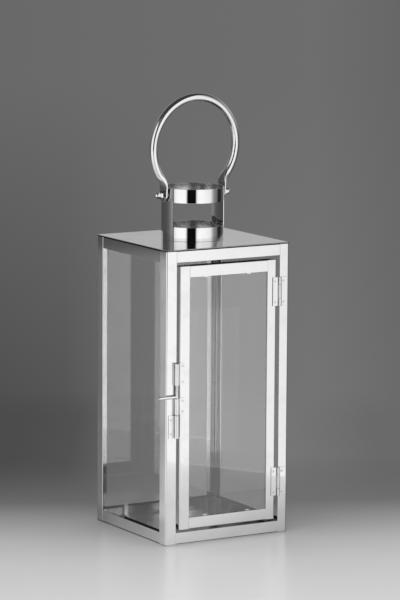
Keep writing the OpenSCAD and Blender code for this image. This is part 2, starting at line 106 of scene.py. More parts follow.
@dataclass
class Surface:
    """A closed skin: points in millimetres and tables of faces.

    Attributes:
        points: One row of x, y, z for each point.
        faces: Tables of point numbers, one row for each face, all the faces
            of one table with the same number of corners.
    """

    points: np.ndarray
    faces: list[np.ndarray]

    def outward(self) -> Surface:
        """Turns every face outwards.

        The signed volume is the sum, over the triangles of each face's fan, of
        the corner vectors' triple product over six; when it is negative the
        skin is inside out and the order of each face's corners is reversed.

        Returns:
            The same surface, with its faces turned where that was needed.
        """
        volume = 0.0
        for table in self.faces:
            corners = self.points[table]
            fan = np.cross(corners[:, 1:-1], corners[:, 2:])
            volume += float((corners[:, :1] * fan).sum()) / 6
        if volume < 0:
            self.faces = [table[:, ::-1] for table in self.faces]
        return self

    def joined(self, *others: Surface) -> Surface:
        """Puts several skins into one.

        Args:
            *others: The skins to add to this one.

        Returns:
            A new surface that holds them all.
        """
        points, faces, start = [self.points], list(self.faces), len(self.points)
        for other in others:
            points.append(other.points)
            faces += [table + start for table in other.faces]
            start += len(other.points)
        return Surface(np.concatenate(points), faces)

    def moved(self, x: float = 0, y: float = 0, z: float = 0) -> Surface:
        """A copy moved by x, y and z."""
        return Surface(self.points + (x, y, z), self.faces)

    def scaled(self, x: float = 1, y: float = 1, z: float = 1) -> Surface:
        """A copy stretched, or mirrored by a negative factor, about the origin."""
        return Surface(self.points * (x, y, z), self.faces).outward()

    def laid(self, run: Axis) -> Surface:
        """Lays the third axis of the skin along an axis of the frame.

        Args:
            run: Where the third axis goes; the first two follow it in turn.

        Returns:
            A copy whose three columns are shifted round.
        """
        return Surface(np.roll(self.points, run.value + 1, axis=1), self.faces)

    def turned_about_z(self, degrees: float) -> Surface:
        """Turns the skin about the frame's upright axis.

        Args:
            degrees: The turn, anticlockwise from above.

        Returns:
            A turned copy.
        """
        c, s = math.cos(math.radians(degrees)), math.sin(math.radians(degrees))
        turn = np.array([[c, s, 0], [-s, c, 0], [0, 0, 1]])
        return Surface(self.points @ turn, self.faces)


def loft(rings: np.ndarray, closed: bool = False) -> Surface:
    """Skins a stack of rings.

    Point j of ring i is joined to point j + 1 of the same ring and to the
    points with those numbers on ring i + 1.

    Args:
        rings: Table of rings, points round each ring and x, y, z.
        closed: Joins the last ring to the first; otherwise one face closes
            each end.

    Returns:
        The closed skin, its faces outwards.
    """
    count, sides, _ = rings.shape
    here = np.arange(count * sides).reshape(count, sides)
    beside = np.roll(here, -1, axis=1)
    quads = np.stack([here, beside, np.roll(beside, -1, 0), np.roll(here, -1, 0)], axis=-1)
    if closed:
        faces = [quads.reshape(-1, 4)]
    else:
        faces = [quads[:-1].reshape(-1, 4), here[:1, ::-1], here[-1:]]
    return Surface(rings.reshape(-1, 3), faces).outward()


def at_height(outline: np.ndarray, height: float) -> np.ndarray:
    """An outline of x, y points raised to that height."""
    return np.column_stack([outline, np.full(len(outline), height)])


def shrunk(outline: np.ndarray, by: float) -> np.ndarray:
    """Moves a closed outline inwards.

    Each corner moves along the sum of its two sides' unit normals, times two
    over that sum's square, so both sides move by the same distance.

    Args:
        outline: The x, y points round the outline.
        by: The distance; a negative one moves it outwards.

    Returns:
        The new outline, with as many points.
    """
    step = np.roll(outline, -1, axis=0) - outline
    normal = np.column_stack([step[:, 1], -step[:, 0]]) / np.linalg.norm(step, axis=1)[:, None]
    both = normal + np.roll(normal, 1, axis=0)
    x, y = outline.T
    turn = np.sign((x * np.roll(y, -1) - np.roll(x, -1) * y).sum())
    return outline - turn * by * 2 * both / (both**2).sum(axis=1, keepdims=True)


def prism(outline: np.ndarray, low: float, high: float, lip: float) -> Surface:
    """Carries an outline straight up, with its end edges broken.

    Args:
        outline: The x, y points round the section.
        low: Where it starts.
        high: Where it ends.
        lip: How far the edge at each end is taken off.

    Returns:
        The closed skin along the third axis.
    """
    small = shrunk(outline, lip)
    return loft(np.stack([
        at_height(small, low), at_height(outline, low + lip),
        at_height(outline, high - lip), at_height(small, high),
    ]))


def pierced(outline: np.ndarray, hole: np.ndarray, low: float, high: float, lip: float,
            rim: float) -> Surface:
    """A flat plate with a hole, its outer edge rounded above.

    The round is a quarter circle in steps; the other edges are broken.

    Args:
        outline: The x, y points round the plate.
        hole: As many points round the hole, on the same bearings.
        low: The plate's underside.
        high: The plate's top.
        lip: How far the other edges are taken off.
        rim: Radius of the round.

    Returns:
        The skin, from the rim over the top, down the hole and back beneath.
    """
    small, wide = shrunk(outline, lip), shrunk(hole, -lip)
    near_rim, near_hole = shrunk(outline, rim + 2 * lip), shrunk(hole, -3 * lip)
    around = [
        at_height(shrunk(outline, rim * (1 - math.cos(turn))), high - rim + rim * math.sin(turn))
        for turn in np.linspace(0, math.pi / 2, RIM_STEPS)
    ]
    return loft(np.stack([
        at_height(outline, low + lip), at_height(outline, high - rim - BAND), *around,
        at_height(near_rim, high), at_height(near_hole, high), at_height(wide, high),
        at_height(hole, high - lip), at_height(hole, low + lip),
        at_height(wide, low), at_height(near_hole, low),
        at_height(near_rim, low), at_height(small, low),
    ]), closed=True)


def turned(radius: np.ndarray | list, height: np.ndarray | list, sides: int = 48) -> Surface:
    """A form turned about the third axis.

    Each point is the radius times the cosine and the sine of its bearing.

    Args:
        radius: One radius for each height, or a table of them by height and
            side for a form that isn't round.
        height: The heights, in order.
        sides: Points round the form.

    Returns:
        The closed skin.
    """
    radius = np.asarray(radius, float)
    if radius.ndim == 1:
        radius = np.repeat(radius[:, None], sides, axis=1)
    angle = np.arange(radius.shape[1]) * 2 * math.pi / radius.shape[1]
    level = np.repeat(np.asarray(height, float)[:, None], radius.shape[1], axis=1)
    return loft(np.stack([radius * np.cos(angle), radius * np.sin(angle), level], axis=-1))


def hexagon(flats: float, sides: int) -> np.ndarray:
    """Radius of a hexagon at evenly spaced bearings.

    It is half the distance over flats, over the cosine of the bearing from
    the middle of the nearest flat.

    Args:
        flats: Distance over flats.
        sides: Number of bearings, a multiple of six.

    Returns:
        The radii.
    """
    bearing = np.arange(sides) * 360.0 / sides
    return flats / 2 / np.cos(np.radians((bearing + 30) % 60 - 30))


def swept_round(section: np.ndarray, start: float, end: float, steps: int, lip: float) -> Surface:
    """Carries a closed section round the third axis.

    Each point is the section's radius times the cosine and the sine of the
    bearing. An open sweep ends in a section drawn in by the lip.

    Args:
        section: The points of the section, as radius and height.
        start: First bearing in degrees.
        end: Last bearing; 360 on from the first closes the form on itself.
        steps: Number of steps between them.
        lip: How far the end edges are taken off.

    Returns:
        The closed skin.
    """
    whole = math.isclose(end - start, 360)
    bearing = np.linspace(start, end, steps + 1)[: steps if whole else None]
    sections = np.repeat(section[None], len(bearing), axis=0)
    if not whole:
        off = math.degrees(lip / section[:, 0].max())
        bearing = np.concatenate([[start], [start + off], bearing[1:-1], [end - off], [end]])
        small = shrunk(section, lip)[None]
        sections = np.concatenate([small, sections, small])
    angle = np.radians(bearing)[:, None]
    radius, height = sections[..., 0], sections[..., 1]
    rings = np.stack([radius * np.cos(angle), radius * np.sin(angle), height], axis=-1)
    return loft(rings, closed=whole)


def rounded_box(low: np.ndarray, high: np.ndarray, corner: float, steps: int = 3) -> np.ndarray:
    """Outline of a rectangle with rounded corners.

    Each corner is a quarter circle about a point that lies its radius inside
    both sides.

    Args:
        low: Its lowest x and y.
        high: Its highest x and y.
        corner: Radius of the corners.
        steps: Steps round each corner.

    Returns:
        The points, anticlockwise.
    """
    quarter = np.radians(np.linspace(0, 90, steps + 1))
    angle = (quarter[None] + np.radians([[0], [90], [180], [270]])).ravel()
    side = np.repeat([[1, 1], [0, 1], [0, 0], [1, 0]], steps + 1, axis=0)
    middle = np.where(side == 1, np.asarray(high) - corner, np.asarray(low) + corner)
    return middle + corner * np.column_stack([np.cos(angle), np.sin(angle)])


def dome(radius: float, height: float, steps: int = 8) -> tuple[np.ndarray, np.ndarray]:
    """Profile of a dome from its rim to its pole.

    It is a quarter of an ellipse, stopped just short of the axis, where a
    small flat closes it.

    Args:
        radius: Radius at the rim.
        height: Height of the pole over the rim.
        steps: Steps of the quarter.

    Returns:
        Radii and heights over the rim.
    """
    angle = np.radians(np.linspace(0, POLE, steps + 1))
    return radius * np.cos(angle), height * np.sin(angle)


@dataclass
class SheetPath:
    """The line that one face of a folded sheet follows; the sheet lies on its left.

    Attributes:
        at: Where the line has got to.
        heading: Its direction in degrees, anticlockwise from the first axis.
        rows: Points and headings passed so far.
    """

    at: np.ndarray
    heading: float
    rows: list[np.ndarray] = field(default_factory=list)
    HOLD = 0.04  # distance of the points that keep a flat flat next to a bend
    STEP = 9.0  # degrees of a bend's steps

    @staticmethod
    def direction(degrees: np.ndarray | float) -> np.ndarray:
        """Unit vectors on those bearings."""
        angle = np.radians(degrees)
        return np.stack([np.cos(angle), np.sin(angle)], axis=-1)

    def passed(self, points: np.ndarray, headings: np.ndarray) -> SheetPath:
        """Adds points and moves on to the last.

        Args:
            points: The points, one row each.
            headings: The line's heading at each.

        Returns:
            The path, for the next run.
        """
        self.rows.append(np.column_stack([points, headings]))
        self.at, self.heading = points[-1], float(headings[-1])
        return self

    def ahead(self, length: float) -> SheetPath:
        """Adds a straight run.

        Args:
            length: Its length.

        Returns:
            The path, for the next run.
        """
        if not self.rows:
            self.passed(self.at[None], np.array([self.heading]))
        ends = self.at + length * self.direction(self.heading)
        return self.passed(ends[None], np.array([self.heading]))

    def bend(self, turn: float, radius: float) -> SheetPath:
        """A round bend, held flat on both sides by a close pair of points.

        Points lie on the circle about the centre, which is the radius away on
        the side that the line turns to.

        Args:
            turn: Degrees, positive to the left.
            radius: Radius of the line itself.

        Returns:
            The path, for the next run.
        """
        side = math.copysign(90, turn)
        centre = self.at + radius * self.direction(self.heading + side)
        heading = self.heading + np.linspace(0, turn, max(2, round(abs(turn) / self.STEP)) + 1)
        arc = centre - radius * self.direction(heading + side)
        self.rows[-1][-1, :2] = self.at - self.HOLD * self.direction(self.heading)
        return self.passed(arc, heading).ahead(self.HOLD)

    def profile(self, sheet: float, edge: float) -> np.ndarray:
        """Closed outline of the sheet along the line.

        The near face is the line, the far face is the line moved left by the
        sheet's thickness, and each end has its two corners taken off.

        Args:
            sheet: Thickness of the sheet.
            edge: How far the corners of its cut ends are taken off.

        Returns:
            The points, anticlockwise.
        """
        rows = np.concatenate(self.rows)
        near, heading = rows[:, :2].copy(), rows[:, 2]
        left = self.direction(heading + 90)
        far = near + sheet * left
        back, on = edge * self.direction(heading[0]), edge * self.direction(heading[-1])
        first = np.stack([far[0] - edge * left[0], near[0] + edge * left[0]])
        last = np.stack([near[-1] + edge * left[-1], far[-1] - edge * left[-1]])
        for line in (near, far):
            line[0] += back
            line[-1] -= on
        return np.concatenate([near, last, far[::-1], first])


def folded(leg_a: float, leg_b: float, fold: float, sheet: float, edge: float) -> np.ndarray:
    """Outline of a sheet folded square, its outer corner at the origin.

    Args:
        leg_a: Reach along the first axis.
        leg_b: Reach along the second axis.
        fold: Outside radius of the fold.
        sheet: Thickness of the sheet.
        edge: How far the cut ends' corners are taken off.

    Returns:
        The points of the outline.
    """
    path = SheetPath(np.array([0.0, leg_b]), -90)
    path.ahead(leg_b - fold).bend(90, fold).ahead(leg_a - fold - SheetPath.HOLD)
    return path.profile(sheet, edge)


def limits(node: str) -> tuple[np.ndarray, np.ndarray]:
    """Lowest and highest corners of a frame node in millimetres."""
    low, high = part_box(node)
    return np.array(low) / MM, np.array(high) / MM


def middle(node: str) -> np.ndarray:
    """Centre of a frame node's box in millimetres."""
    return sum(limits(node)) / 2


def folded_part(node: str, run: Axis, corner: tuple[int, int], fold: float,
                sheet: float = 1.0, edge: float = 0.3) -> Surface:
    """A folded sheet part that fills a frame node's box.

    Its section is an L whose legs are the box's two sides across the run. It
    is carried along the run, mirrored where the fold is at a high side, and
    moved to the fold's corner of the box.

    Args:
        node: The frame node that it stands for.
        run: The axis that it runs along.
        corner: For the two axes after the run, -1 if the fold is at the low
            side of the box and 1 if it is at the high side.
        fold: Outside radius of the fold.
        sheet: Thickness of the sheet.
        edge: How far its cut edges are broken.

    Returns:
        The closed skin.
    """
    low, high = limits(node)
    a, b = (run.value + 1) % 3, (run.value + 2) % 3
    size = high - low
    outline = folded(size[a], size[b], fold, sheet, edge)
    part = prism(outline, low[run.value], high[run.value], edge).laid(run)
    factor, shift = np.ones(3), np.zeros(3)
    for axis, side in zip((a, b), corner):
        factor[axis] = -side
        shift[axis] = low[axis] if side < 0 else high[axis]
    return part.scaled(*factor).moved(*shift)


# --------------------------------------------------------- shading toolkit


@dataclass
class Value:
    """A shader value, whose arithmetic adds Math nodes.

    Attributes:
        graph: The node graph that it belongs to.
        socket: The output that carries it.
    """

    graph: Graph
    socket: bpy.types.NodeSocket

    def joined(self, operation: str, first: Value | float, second: Value | float) -> Value:
        """The result of a Math node on two values."""
        return self.graph.add("ShaderNodeMath", {"operation": operation}, {0: first, 1: second})

    def __add__(self, other: Value | float) -> Value:
        """Sum."""
        return self.joined("ADD", self, other)

    def __mul__(self, other: Value | float) -> Value:
        """Product."""
        return self.joined("MULTIPLY", self, other)

    def __sub__(self, other: Value | float) -> Value:
        """Difference."""
        return self.joined("SUBTRACT", self, other)

    def __rsub__(self, other: Value | float) -> Value:
        """Difference from a number."""
        return self.joined("SUBTRACT", other, self)

    def __gt__(self, other: Value | float) -> Value:
        """One where it is the greater, otherwise nought."""
        return self.joined("GREATER_THAN", self, other)

    __radd__ = __add__
    __rmul__ = __mul__


@dataclass
class Graph:
    """A material's or the world's node tree, emptied and built up again.

    Attributes:
        tree: The node tree.
    """

    tree: bpy.types.NodeTree

    def __post_init__(self) -> None:
        """Empties the tree."""
        self.tree.nodes.clear()

    def add(self, kind: str, settings: dict | None = None, sockets: dict | None = None,
            output: int | str = 0) -> Value:
        """Adds a node.

        Args:
            kind: The node's type.
            settings: Properties to set first; "stops" holds a ramp's stops as
                pairs of position and grey.
            sockets: Values or links by input name or number.
            output: The output to return.

        Returns:
            That output as a value, or one with no socket if there is none.
        """
        node = self.tree.nodes.new(kind)
        for name, setting in (settings or {}).items():
            if name == "stops":
                elements = node.color_ramp.elements
                for (position, grey), element in zip(setting, elements):
                    element.position, element.color = position, (grey, grey, grey, 1)
                for position, grey in setting[len(elements):]:
                    elements.new(position).color = (grey, grey, grey, 1)
            else:
                setattr(node, name, setting)
        for name, value in (sockets or {}).items():
            if isinstance(value, Value):
                self.tree.links.new(value.socket, node.inputs[name])
            else:
                node.inputs[name].default_value = value
        return Value(self, node.outputs[output] if len(node.outputs) else None)

    def where(self, kind: str = "Object") -> Value:
        """Object coordinates in metres, or coordinates of another kind."""
        return self.add("ShaderNodeTexCoord", output=kind)

    def stretched(self, scale: Triple) -> Value:
        """Object coordinates in metres, times a factor for each axis."""
        return self.add("ShaderNodeMapping", {"vector_type": "POINT"},
                        {"Vector": self.where(), "Scale": scale})

    def axes(self, vector: Value) -> list[Value]:
        """The x, y and z of a vector, as values."""
        split = self.add("ShaderNodeSeparateXYZ", {}, {"Vector": vector}).socket.node
        return [Value(self, output) for output in split.outputs]

    def noise(self, where: Value, scale: float, detail: float = 3.0) -> Value:
        """Noise from nought to one with features of about one over the scale."""
        return self.add("ShaderNodeTexNoise", {"noise_dimensions": "3D"},
                        {"Vector": where, "Scale": scale, "Detail": detail})

    def ramp(self, value: Value, *stops: tuple[float, float]) -> Value:
        """The value carried through a grey ramp of those stops."""
        ramp = self.add("ShaderNodeValToRGB", {"stops": stops}, {"Fac": value}, "Color")
        return self.add("ShaderNodeRGBToBW", {}, {"Color": ramp})

    def neutral(self, level: Value) -> Value:
        """A grey whose level varies."""
        return self.add("ShaderNodeCombineColor", {}, {0: level, 1: level, 2: level})

    def blend(self, factor: Value, first: Value | Colour, second: Value | Colour) -> Value:
        """A colour that goes from the first to the second as the factor rises."""
        return self.add("ShaderNodeMix", {"data_type": "RGBA"},
                        {"Factor": factor, "A": first, "B": second}, "Result")

    def glow(self, colour: Value | Colour) -> Value:
        """A shader that shines with that colour."""
        return self.add("ShaderNodeEmission", {}, {"Color": colour, "Strength": 1.0})

    def clear(self) -> Value:
        """A shader that lets all through."""
        return self.add("ShaderNodeBsdfTransparent")

    def over(self, factor: Value, under: Value, above: Value) -> Value:
        """A shader that goes from the one under to the one above as the factor rises."""
        return self.add("ShaderNodeMixShader", {}, {0: factor, 1: under, 2: above})

    def past(self, depth: str) -> Value:
        """One for rays that were already mirrored or scattered, for the stage and the world."""
        return self.add("ShaderNodeLightPath", output=depth) > 0.5


Triple = tuple[float, float, float]
Colour = tuple[float, float, float, float]
MIRRORED, SCATTERED = "Glossy Depth", "Diffuse Depth"
DARK_MARK_GREY = 0.012  # level of a dark mark


def grey(level: float) -> Colour:
    """A neutral colour of that level."""
    return (level, level, level, 1.0)


def begun(name: str) -> tuple[bpy.types.Material, Graph]:
    """Starts a material.

    Args:
        name: Its name.

    Returns:
        The material and its empty graph.
    """
    made = bpy.data.materials.new(name)
    made.use_nodes = True
    return made, Graph(made.node_tree)


@dataclass(frozen=True)
class DarkMark:
    """A dark mark painted on all of a piece that lies inside a box.

    It serves for painted shade and for the dark bands at the panes' feet.

    Attributes:
        low: The box's lowest corner in millimetres.
        high: Its highest corner in millimetres.
        soft: Width of the mark's soft edge in millimetres.
        cover: How much of the piece shows dark inside it.
    """

    low: Triple
    high: Triple
    soft: float = 0.3
    cover: float = 1.0

    def mask(self, g: Graph, axes: list[Value]) -> Value:
        """The cover inside the box, falling to nothing over its soft edges.

        It is the product, over the box's six sides, of the depth inside that
        side over the width of the soft edge, held between nought and one.

        Args:
            g: The graph of the finish.
            axes: The place's x, y and z in metres.

        Returns:
            The mask.
        """
        inside = self.cover
        for at, low, high in zip(axes, self.low, self.high):
            for depth in (at * (1 / MM) - low, high - at * (1 / MM)):
                inside = g.ramp(depth * (1 / self.soft), (0.0, 0.0), (1.0, 1.0)) * inside
        return inside


def with_dark_marks(g: Graph, dark_marks: tuple[DarkMark, ...], shader: Value) -> Value:
    """Lays dark marks over a shader.

    Args:
        g: The graph of the finish.
        dark_marks: The marks; where two meet, the second covers what the first
            leaves.
        shader: The finish under them.

    Returns:
        The shader with its marks.
    """
    axes = g.axes(g.where())
    covered = 0.0
    for dark_mark in dark_marks:
        covered = covered + dark_mark.mask(g, axes) * (1 - covered)
    # near black diffuse laid on as painted shade and as the panes' dark bands
    dark = g.add("ShaderNodeBsdfDiffuse", {}, {"Color": grey(DARK_MARK_GREY)})
    return g.over(covered, shader, dark)


@dataclass(frozen=True)
class SteelFinish:
    """Stainless steel, polished along one axis.

    Attributes:
        name: Name of the material.
        slot: The slot that it stands for; not used.
        tone: Its colour where it is clean.
        dull: Its colour where it is smudged.
        roughness: Roughness of the clean polish.
        smudge: Roughness that smudges and polishing lines add at most.
        grain: Axis that the polishing lines follow.
        lines: Height of the polishing lines in millimetres.
        ripple: Height of the sheet's waviness in millimetres.
        ripple_size: Width of its waves in millimetres.
        bore: Radius in millimetres from the upright axis inside which the
        steel is rougher and darkened by painted shade, or 0.
        dark_marks: Dark marks of painted shade.
    """

    name: str
    slot: Slot
    tone: Triple = (0.64, 0.64, 0.645)
    dull: Triple = (0.55, 0.55, 0.555)
    roughness: float = 0.07
    smudge: float = 0.09
    grain: Axis = Axis.Z
    lines: float = 0.004
    ripple: float = 0.10
    ripple_size: float = 70.0
    bore: float = 0.0
    dark_marks: tuple[DarkMark, ...] = ()
    STRETCH = 40.0  # how much longer than wide the polishing lines are
    LINE_SCALE = 22.0  # lines in a metre along the grain
    CLOUD, PRINT = 38.0, 7.0  # widths in millimetres of the smudges' two sizes
    DIRTY = (0.5, 0.0), (0.7, 1.0)  # where the smudges' noise starts and stops to show
    BORE_ROUGH, BORE_DARK, BORE_GREY = 0.2, 0.4, 0.02  # what the inside adds: roughness, and painted shade towards a near black grey

    def material(self) -> bpy.types.Material:
        """Builds the finish once and returns it.

        Polishing lines are noise stretched along the grain. Smudges are soft
        noise of two sizes that only dulls where it is high. The sheet's waves,
        its lines and the smaller smudges are the height of one bump. Inside
        the bore the steel is rougher and darkened by painted shade: there the
        distance from the upright axis, squared, is less than the bore's radius,
        squared.

        Returns:
            The material.
        """
        known = bpy.data.materials.get(self.name)
        if known:
            return known
        made, g = begun(self.name)
        along = tuple(1.0 if axis is self.grain else self.STRETCH for axis in Axis)
        lines = g.noise(g.stretched(along), self.LINE_SCALE, 4.0)
        plain = g.stretched((1.0, 1.0, 1.0))
        cloud = g.noise(plain, 1 / (MM * self.CLOUD), 4.0)
        prints = g.noise(plain, 1 / (MM * self.PRINT), 3.0)
        smudges = g.ramp(cloud * 0.7 + prints * 0.3, *self.DIRTY)
        waves = g.noise(plain, 1 / (MM * self.ripple_size), 1.0)
        rough = self.roughness + self.smudge * (0.65 * smudges + 0.35 * lines)
        height = waves * self.ripple + lines * self.lines + prints * (self.lines * 0.5)
        colour = g.blend(smudges * 0.5 + lines * 0.2, (*self.tone, 1), (*self.dull, 1))
        if self.bore:
            x, y, _ = g.axes(g.where())
            inside = (self.bore * MM) ** 2 - (x * x + y * y) > 0
            rough = rough + inside * self.BORE_ROUGH
            # painted shade: inside the bore the colour is blended towards a near black grey
            colour = g.blend(inside * self.BORE_DARK, colour, grey(self.BORE_GREY))
        bump = g.add("ShaderNodeBump", {}, {"Strength": 1.0, "Distance": MM, "Height": height})
        shader = g.add("ShaderNodeBsdfPrincipled", {}, {
            "Base Color": colour, "Metallic": 1.0, "Roughness": rough, "Normal": bump,
        })
        if self.dark_marks:
            shader = with_dark_marks(g, self.dark_marks, shader)
        g.add("ShaderNodeOutputMaterial", {}, {"Surface": shader})
        return made


@dataclass(frozen=True)
class GlassFinish:
    """Clear float glass with polishing smears.

    Attributes:
        name: Name of the material.
        slot: The slot that it stands for; not used.
        tint: Colour that it gives to what is seen through it.
        index: Its refractive index.
        smear: Roughness of a smear.
        dark_marks: Dark marks, such as a dark band along its foot.
    """

    name: str
    slot: Slot = Slot.GLASS
    tint: Triple = (0.985, 0.99, 0.985)
    index: float = 1.67
    smear: float = 0.005
    dark_marks: tuple[DarkMark, ...] = ()
    LONG = (1.0, 1.0, 0.35)  # smears are wiped on up and down
    SMEARED = (0.58, 0.0), (0.8, 1.0)  # where their noise starts and stops to show

    def material(self) -> bpy.types.Material:
        """Builds the glass once and returns it.

        Smears are soft noise that only roughens the glass where it is high.

        Returns:
            The material.
        """
        known = bpy.data.materials.get(self.name)
        if known:
            return known
        made, g = begun(self.name)
        smears = g.ramp(g.noise(g.stretched(self.LONG), 18.0, 5.0), *self.SMEARED)
        shader = g.add("ShaderNodeBsdfPrincipled", {}, {
            "Base Color": (*self.tint, 1), "Roughness": self.smear * smears,
            "Transmission Weight": 1.0, "IOR": self.index,
        })
        if self.dark_marks:
            shader = with_dark_marks(g, self.dark_marks, shader)
        g.add("ShaderNodeOutputMaterial", {}, {"Surface": shader})
        return made


class Finishes:
    """The lantern's finishes, one steel for each slot and direction of polish.

    The inner faces of the lower rails are half darkened by painted shade, and
    the side face of the top plate is darkened by painted shade from the gap
    under its edge. A dark band is painted along the foot of the left pane and,
    a little lower, along the feet of the others.
    """

    # painted shade: the lower rails' inner faces, half covered with near black
    INNER_SHADE = DarkMark((-79.7, -79.7, -5.0), (79.7, 79.7, 22.0), cover=0.5)
    # painted shade on the top plate's side face, where the gap under its edge is dark
    PLATE_SIDE_SHADE = DarkMark((-90.0, -90.0, 333.0), (90.0, 90.0, 335.0))
    # a dark band painted along the foot of the left pane, and a little lower round the other
    # panes
    DARK_FOOT_LEFT = DarkMark((-90.0, -90.0, 14.0), (-74.0, 17.0, 16.9))
    DARK_FOOT_ROUND = DarkMark((-74.0, -90.0, 12.4), (90.0, 90.0, 15.5))
    POST = SteelFinish("steel_sheet_upright", Slot.FRAME)
    RAIL_X = SteelFinish("steel_sheet_across", Slot.FRAME, grain=Axis.X, dark_marks=(INNER_SHADE,))
    RAIL_Y = SteelFinish("steel_sheet_deep", Slot.FRAME, grain=Axis.Y, dark_marks=(INNER_SHADE,))
    FLOOR = SteelFinish("steel_floor_mirror", Slot.MIRROR, tone=(0.5, 0.5, 0.505),
                        dull=(0.36, 0.36, 0.365), roughness=0.16, smudge=0.12, grain=Axis.X,
                        ripple=0.06)
    PLATE = SteelFinish("steel_plate_mirror", Slot.MIRROR, grain=Axis.X, ripple=0.06,
                        roughness=0.08, dark_marks=(PLATE_SIDE_SHADE,))
    RING = SteelFinish("steel_ring_mirror", Slot.MIRROR, roughness=0.04, smudge=0.06,
                       ripple=0.03, ripple_size=25.0, bore=34.7)
    BAIL = SteelFinish("steel_bar_mirror", Slot.MIRROR, roughness=0.15, smudge=0.05,
                       ripple=0.005, ripple_size=14.0, lines=0.0002)
    NUT = SteelFinish("steel_nut_mirror", Slot.MIRROR, roughness=0.07, smudge=0.06,
                      ripple=0.01, ripple_size=6.0, grain=Axis.X)
    FITTING = SteelFinish("steel_fitting", Slot.FITTING, roughness=0.05, smudge=0.06,
                          ripple=0.02, ripple_size=9.0, lines=0.002)
    FASTENER = SteelFinish("steel_fastener", Slot.FASTENER, tone=(0.58, 0.58, 0.585),
                           dull=(0.46, 0.46, 0.465), roughness=0.08, smudge=0.08,
                           ripple=0.008, ripple_size=4.0, lines=0.002)
    GLASS = GlassFinish("glass_pane")
    DARK_FOOTED = GlassFinish("glass_pane_dark_foot", dark_marks=(DARK_FOOT_LEFT, DARK_FOOT_ROUND))


Finish = SteelFinish | GlassFinish


def place(node: str, surface: Surface, finish: Finish, rides: Rides,
          crease: float = CREASE) -> None:
    """Makes a piece of a surface and puts it in place of a frame node.

    Args:
        node: The frame node that it stands for, and is named after.
        surface: Its skin, in millimetres in the frame's axes.
        finish: Its finish.
        rides: The body that it moves with.
        crease: Angle in radians from which an edge is shown sharp.
    """
    name = f"{node}_form"
    mesh = bpy.data.meshes.new(name)
    faces = [row for table in surface.faces for row in table.tolist()]
    mesh.from_pydata((surface.points * MM).tolist(), [], faces)
    mesh.validate()
    mesh.polygons.foreach_set("use_smooth", np.ones(len(mesh.polygons), bool))
    mesh.set_sharp_from_angle(angle=crease)
    mesh.materials.append(finish.material())
    piece = bpy.data.objects.new(name, mesh)
    bpy.context.scene.collection.objects.link(piece)
    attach(piece, rides.value)
    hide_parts(node)
    LOG.info("%s: %d faces, rides on %s", name, len(mesh.polygons), rides.value)


# ------------------------------------------------------------ sub-assemblies


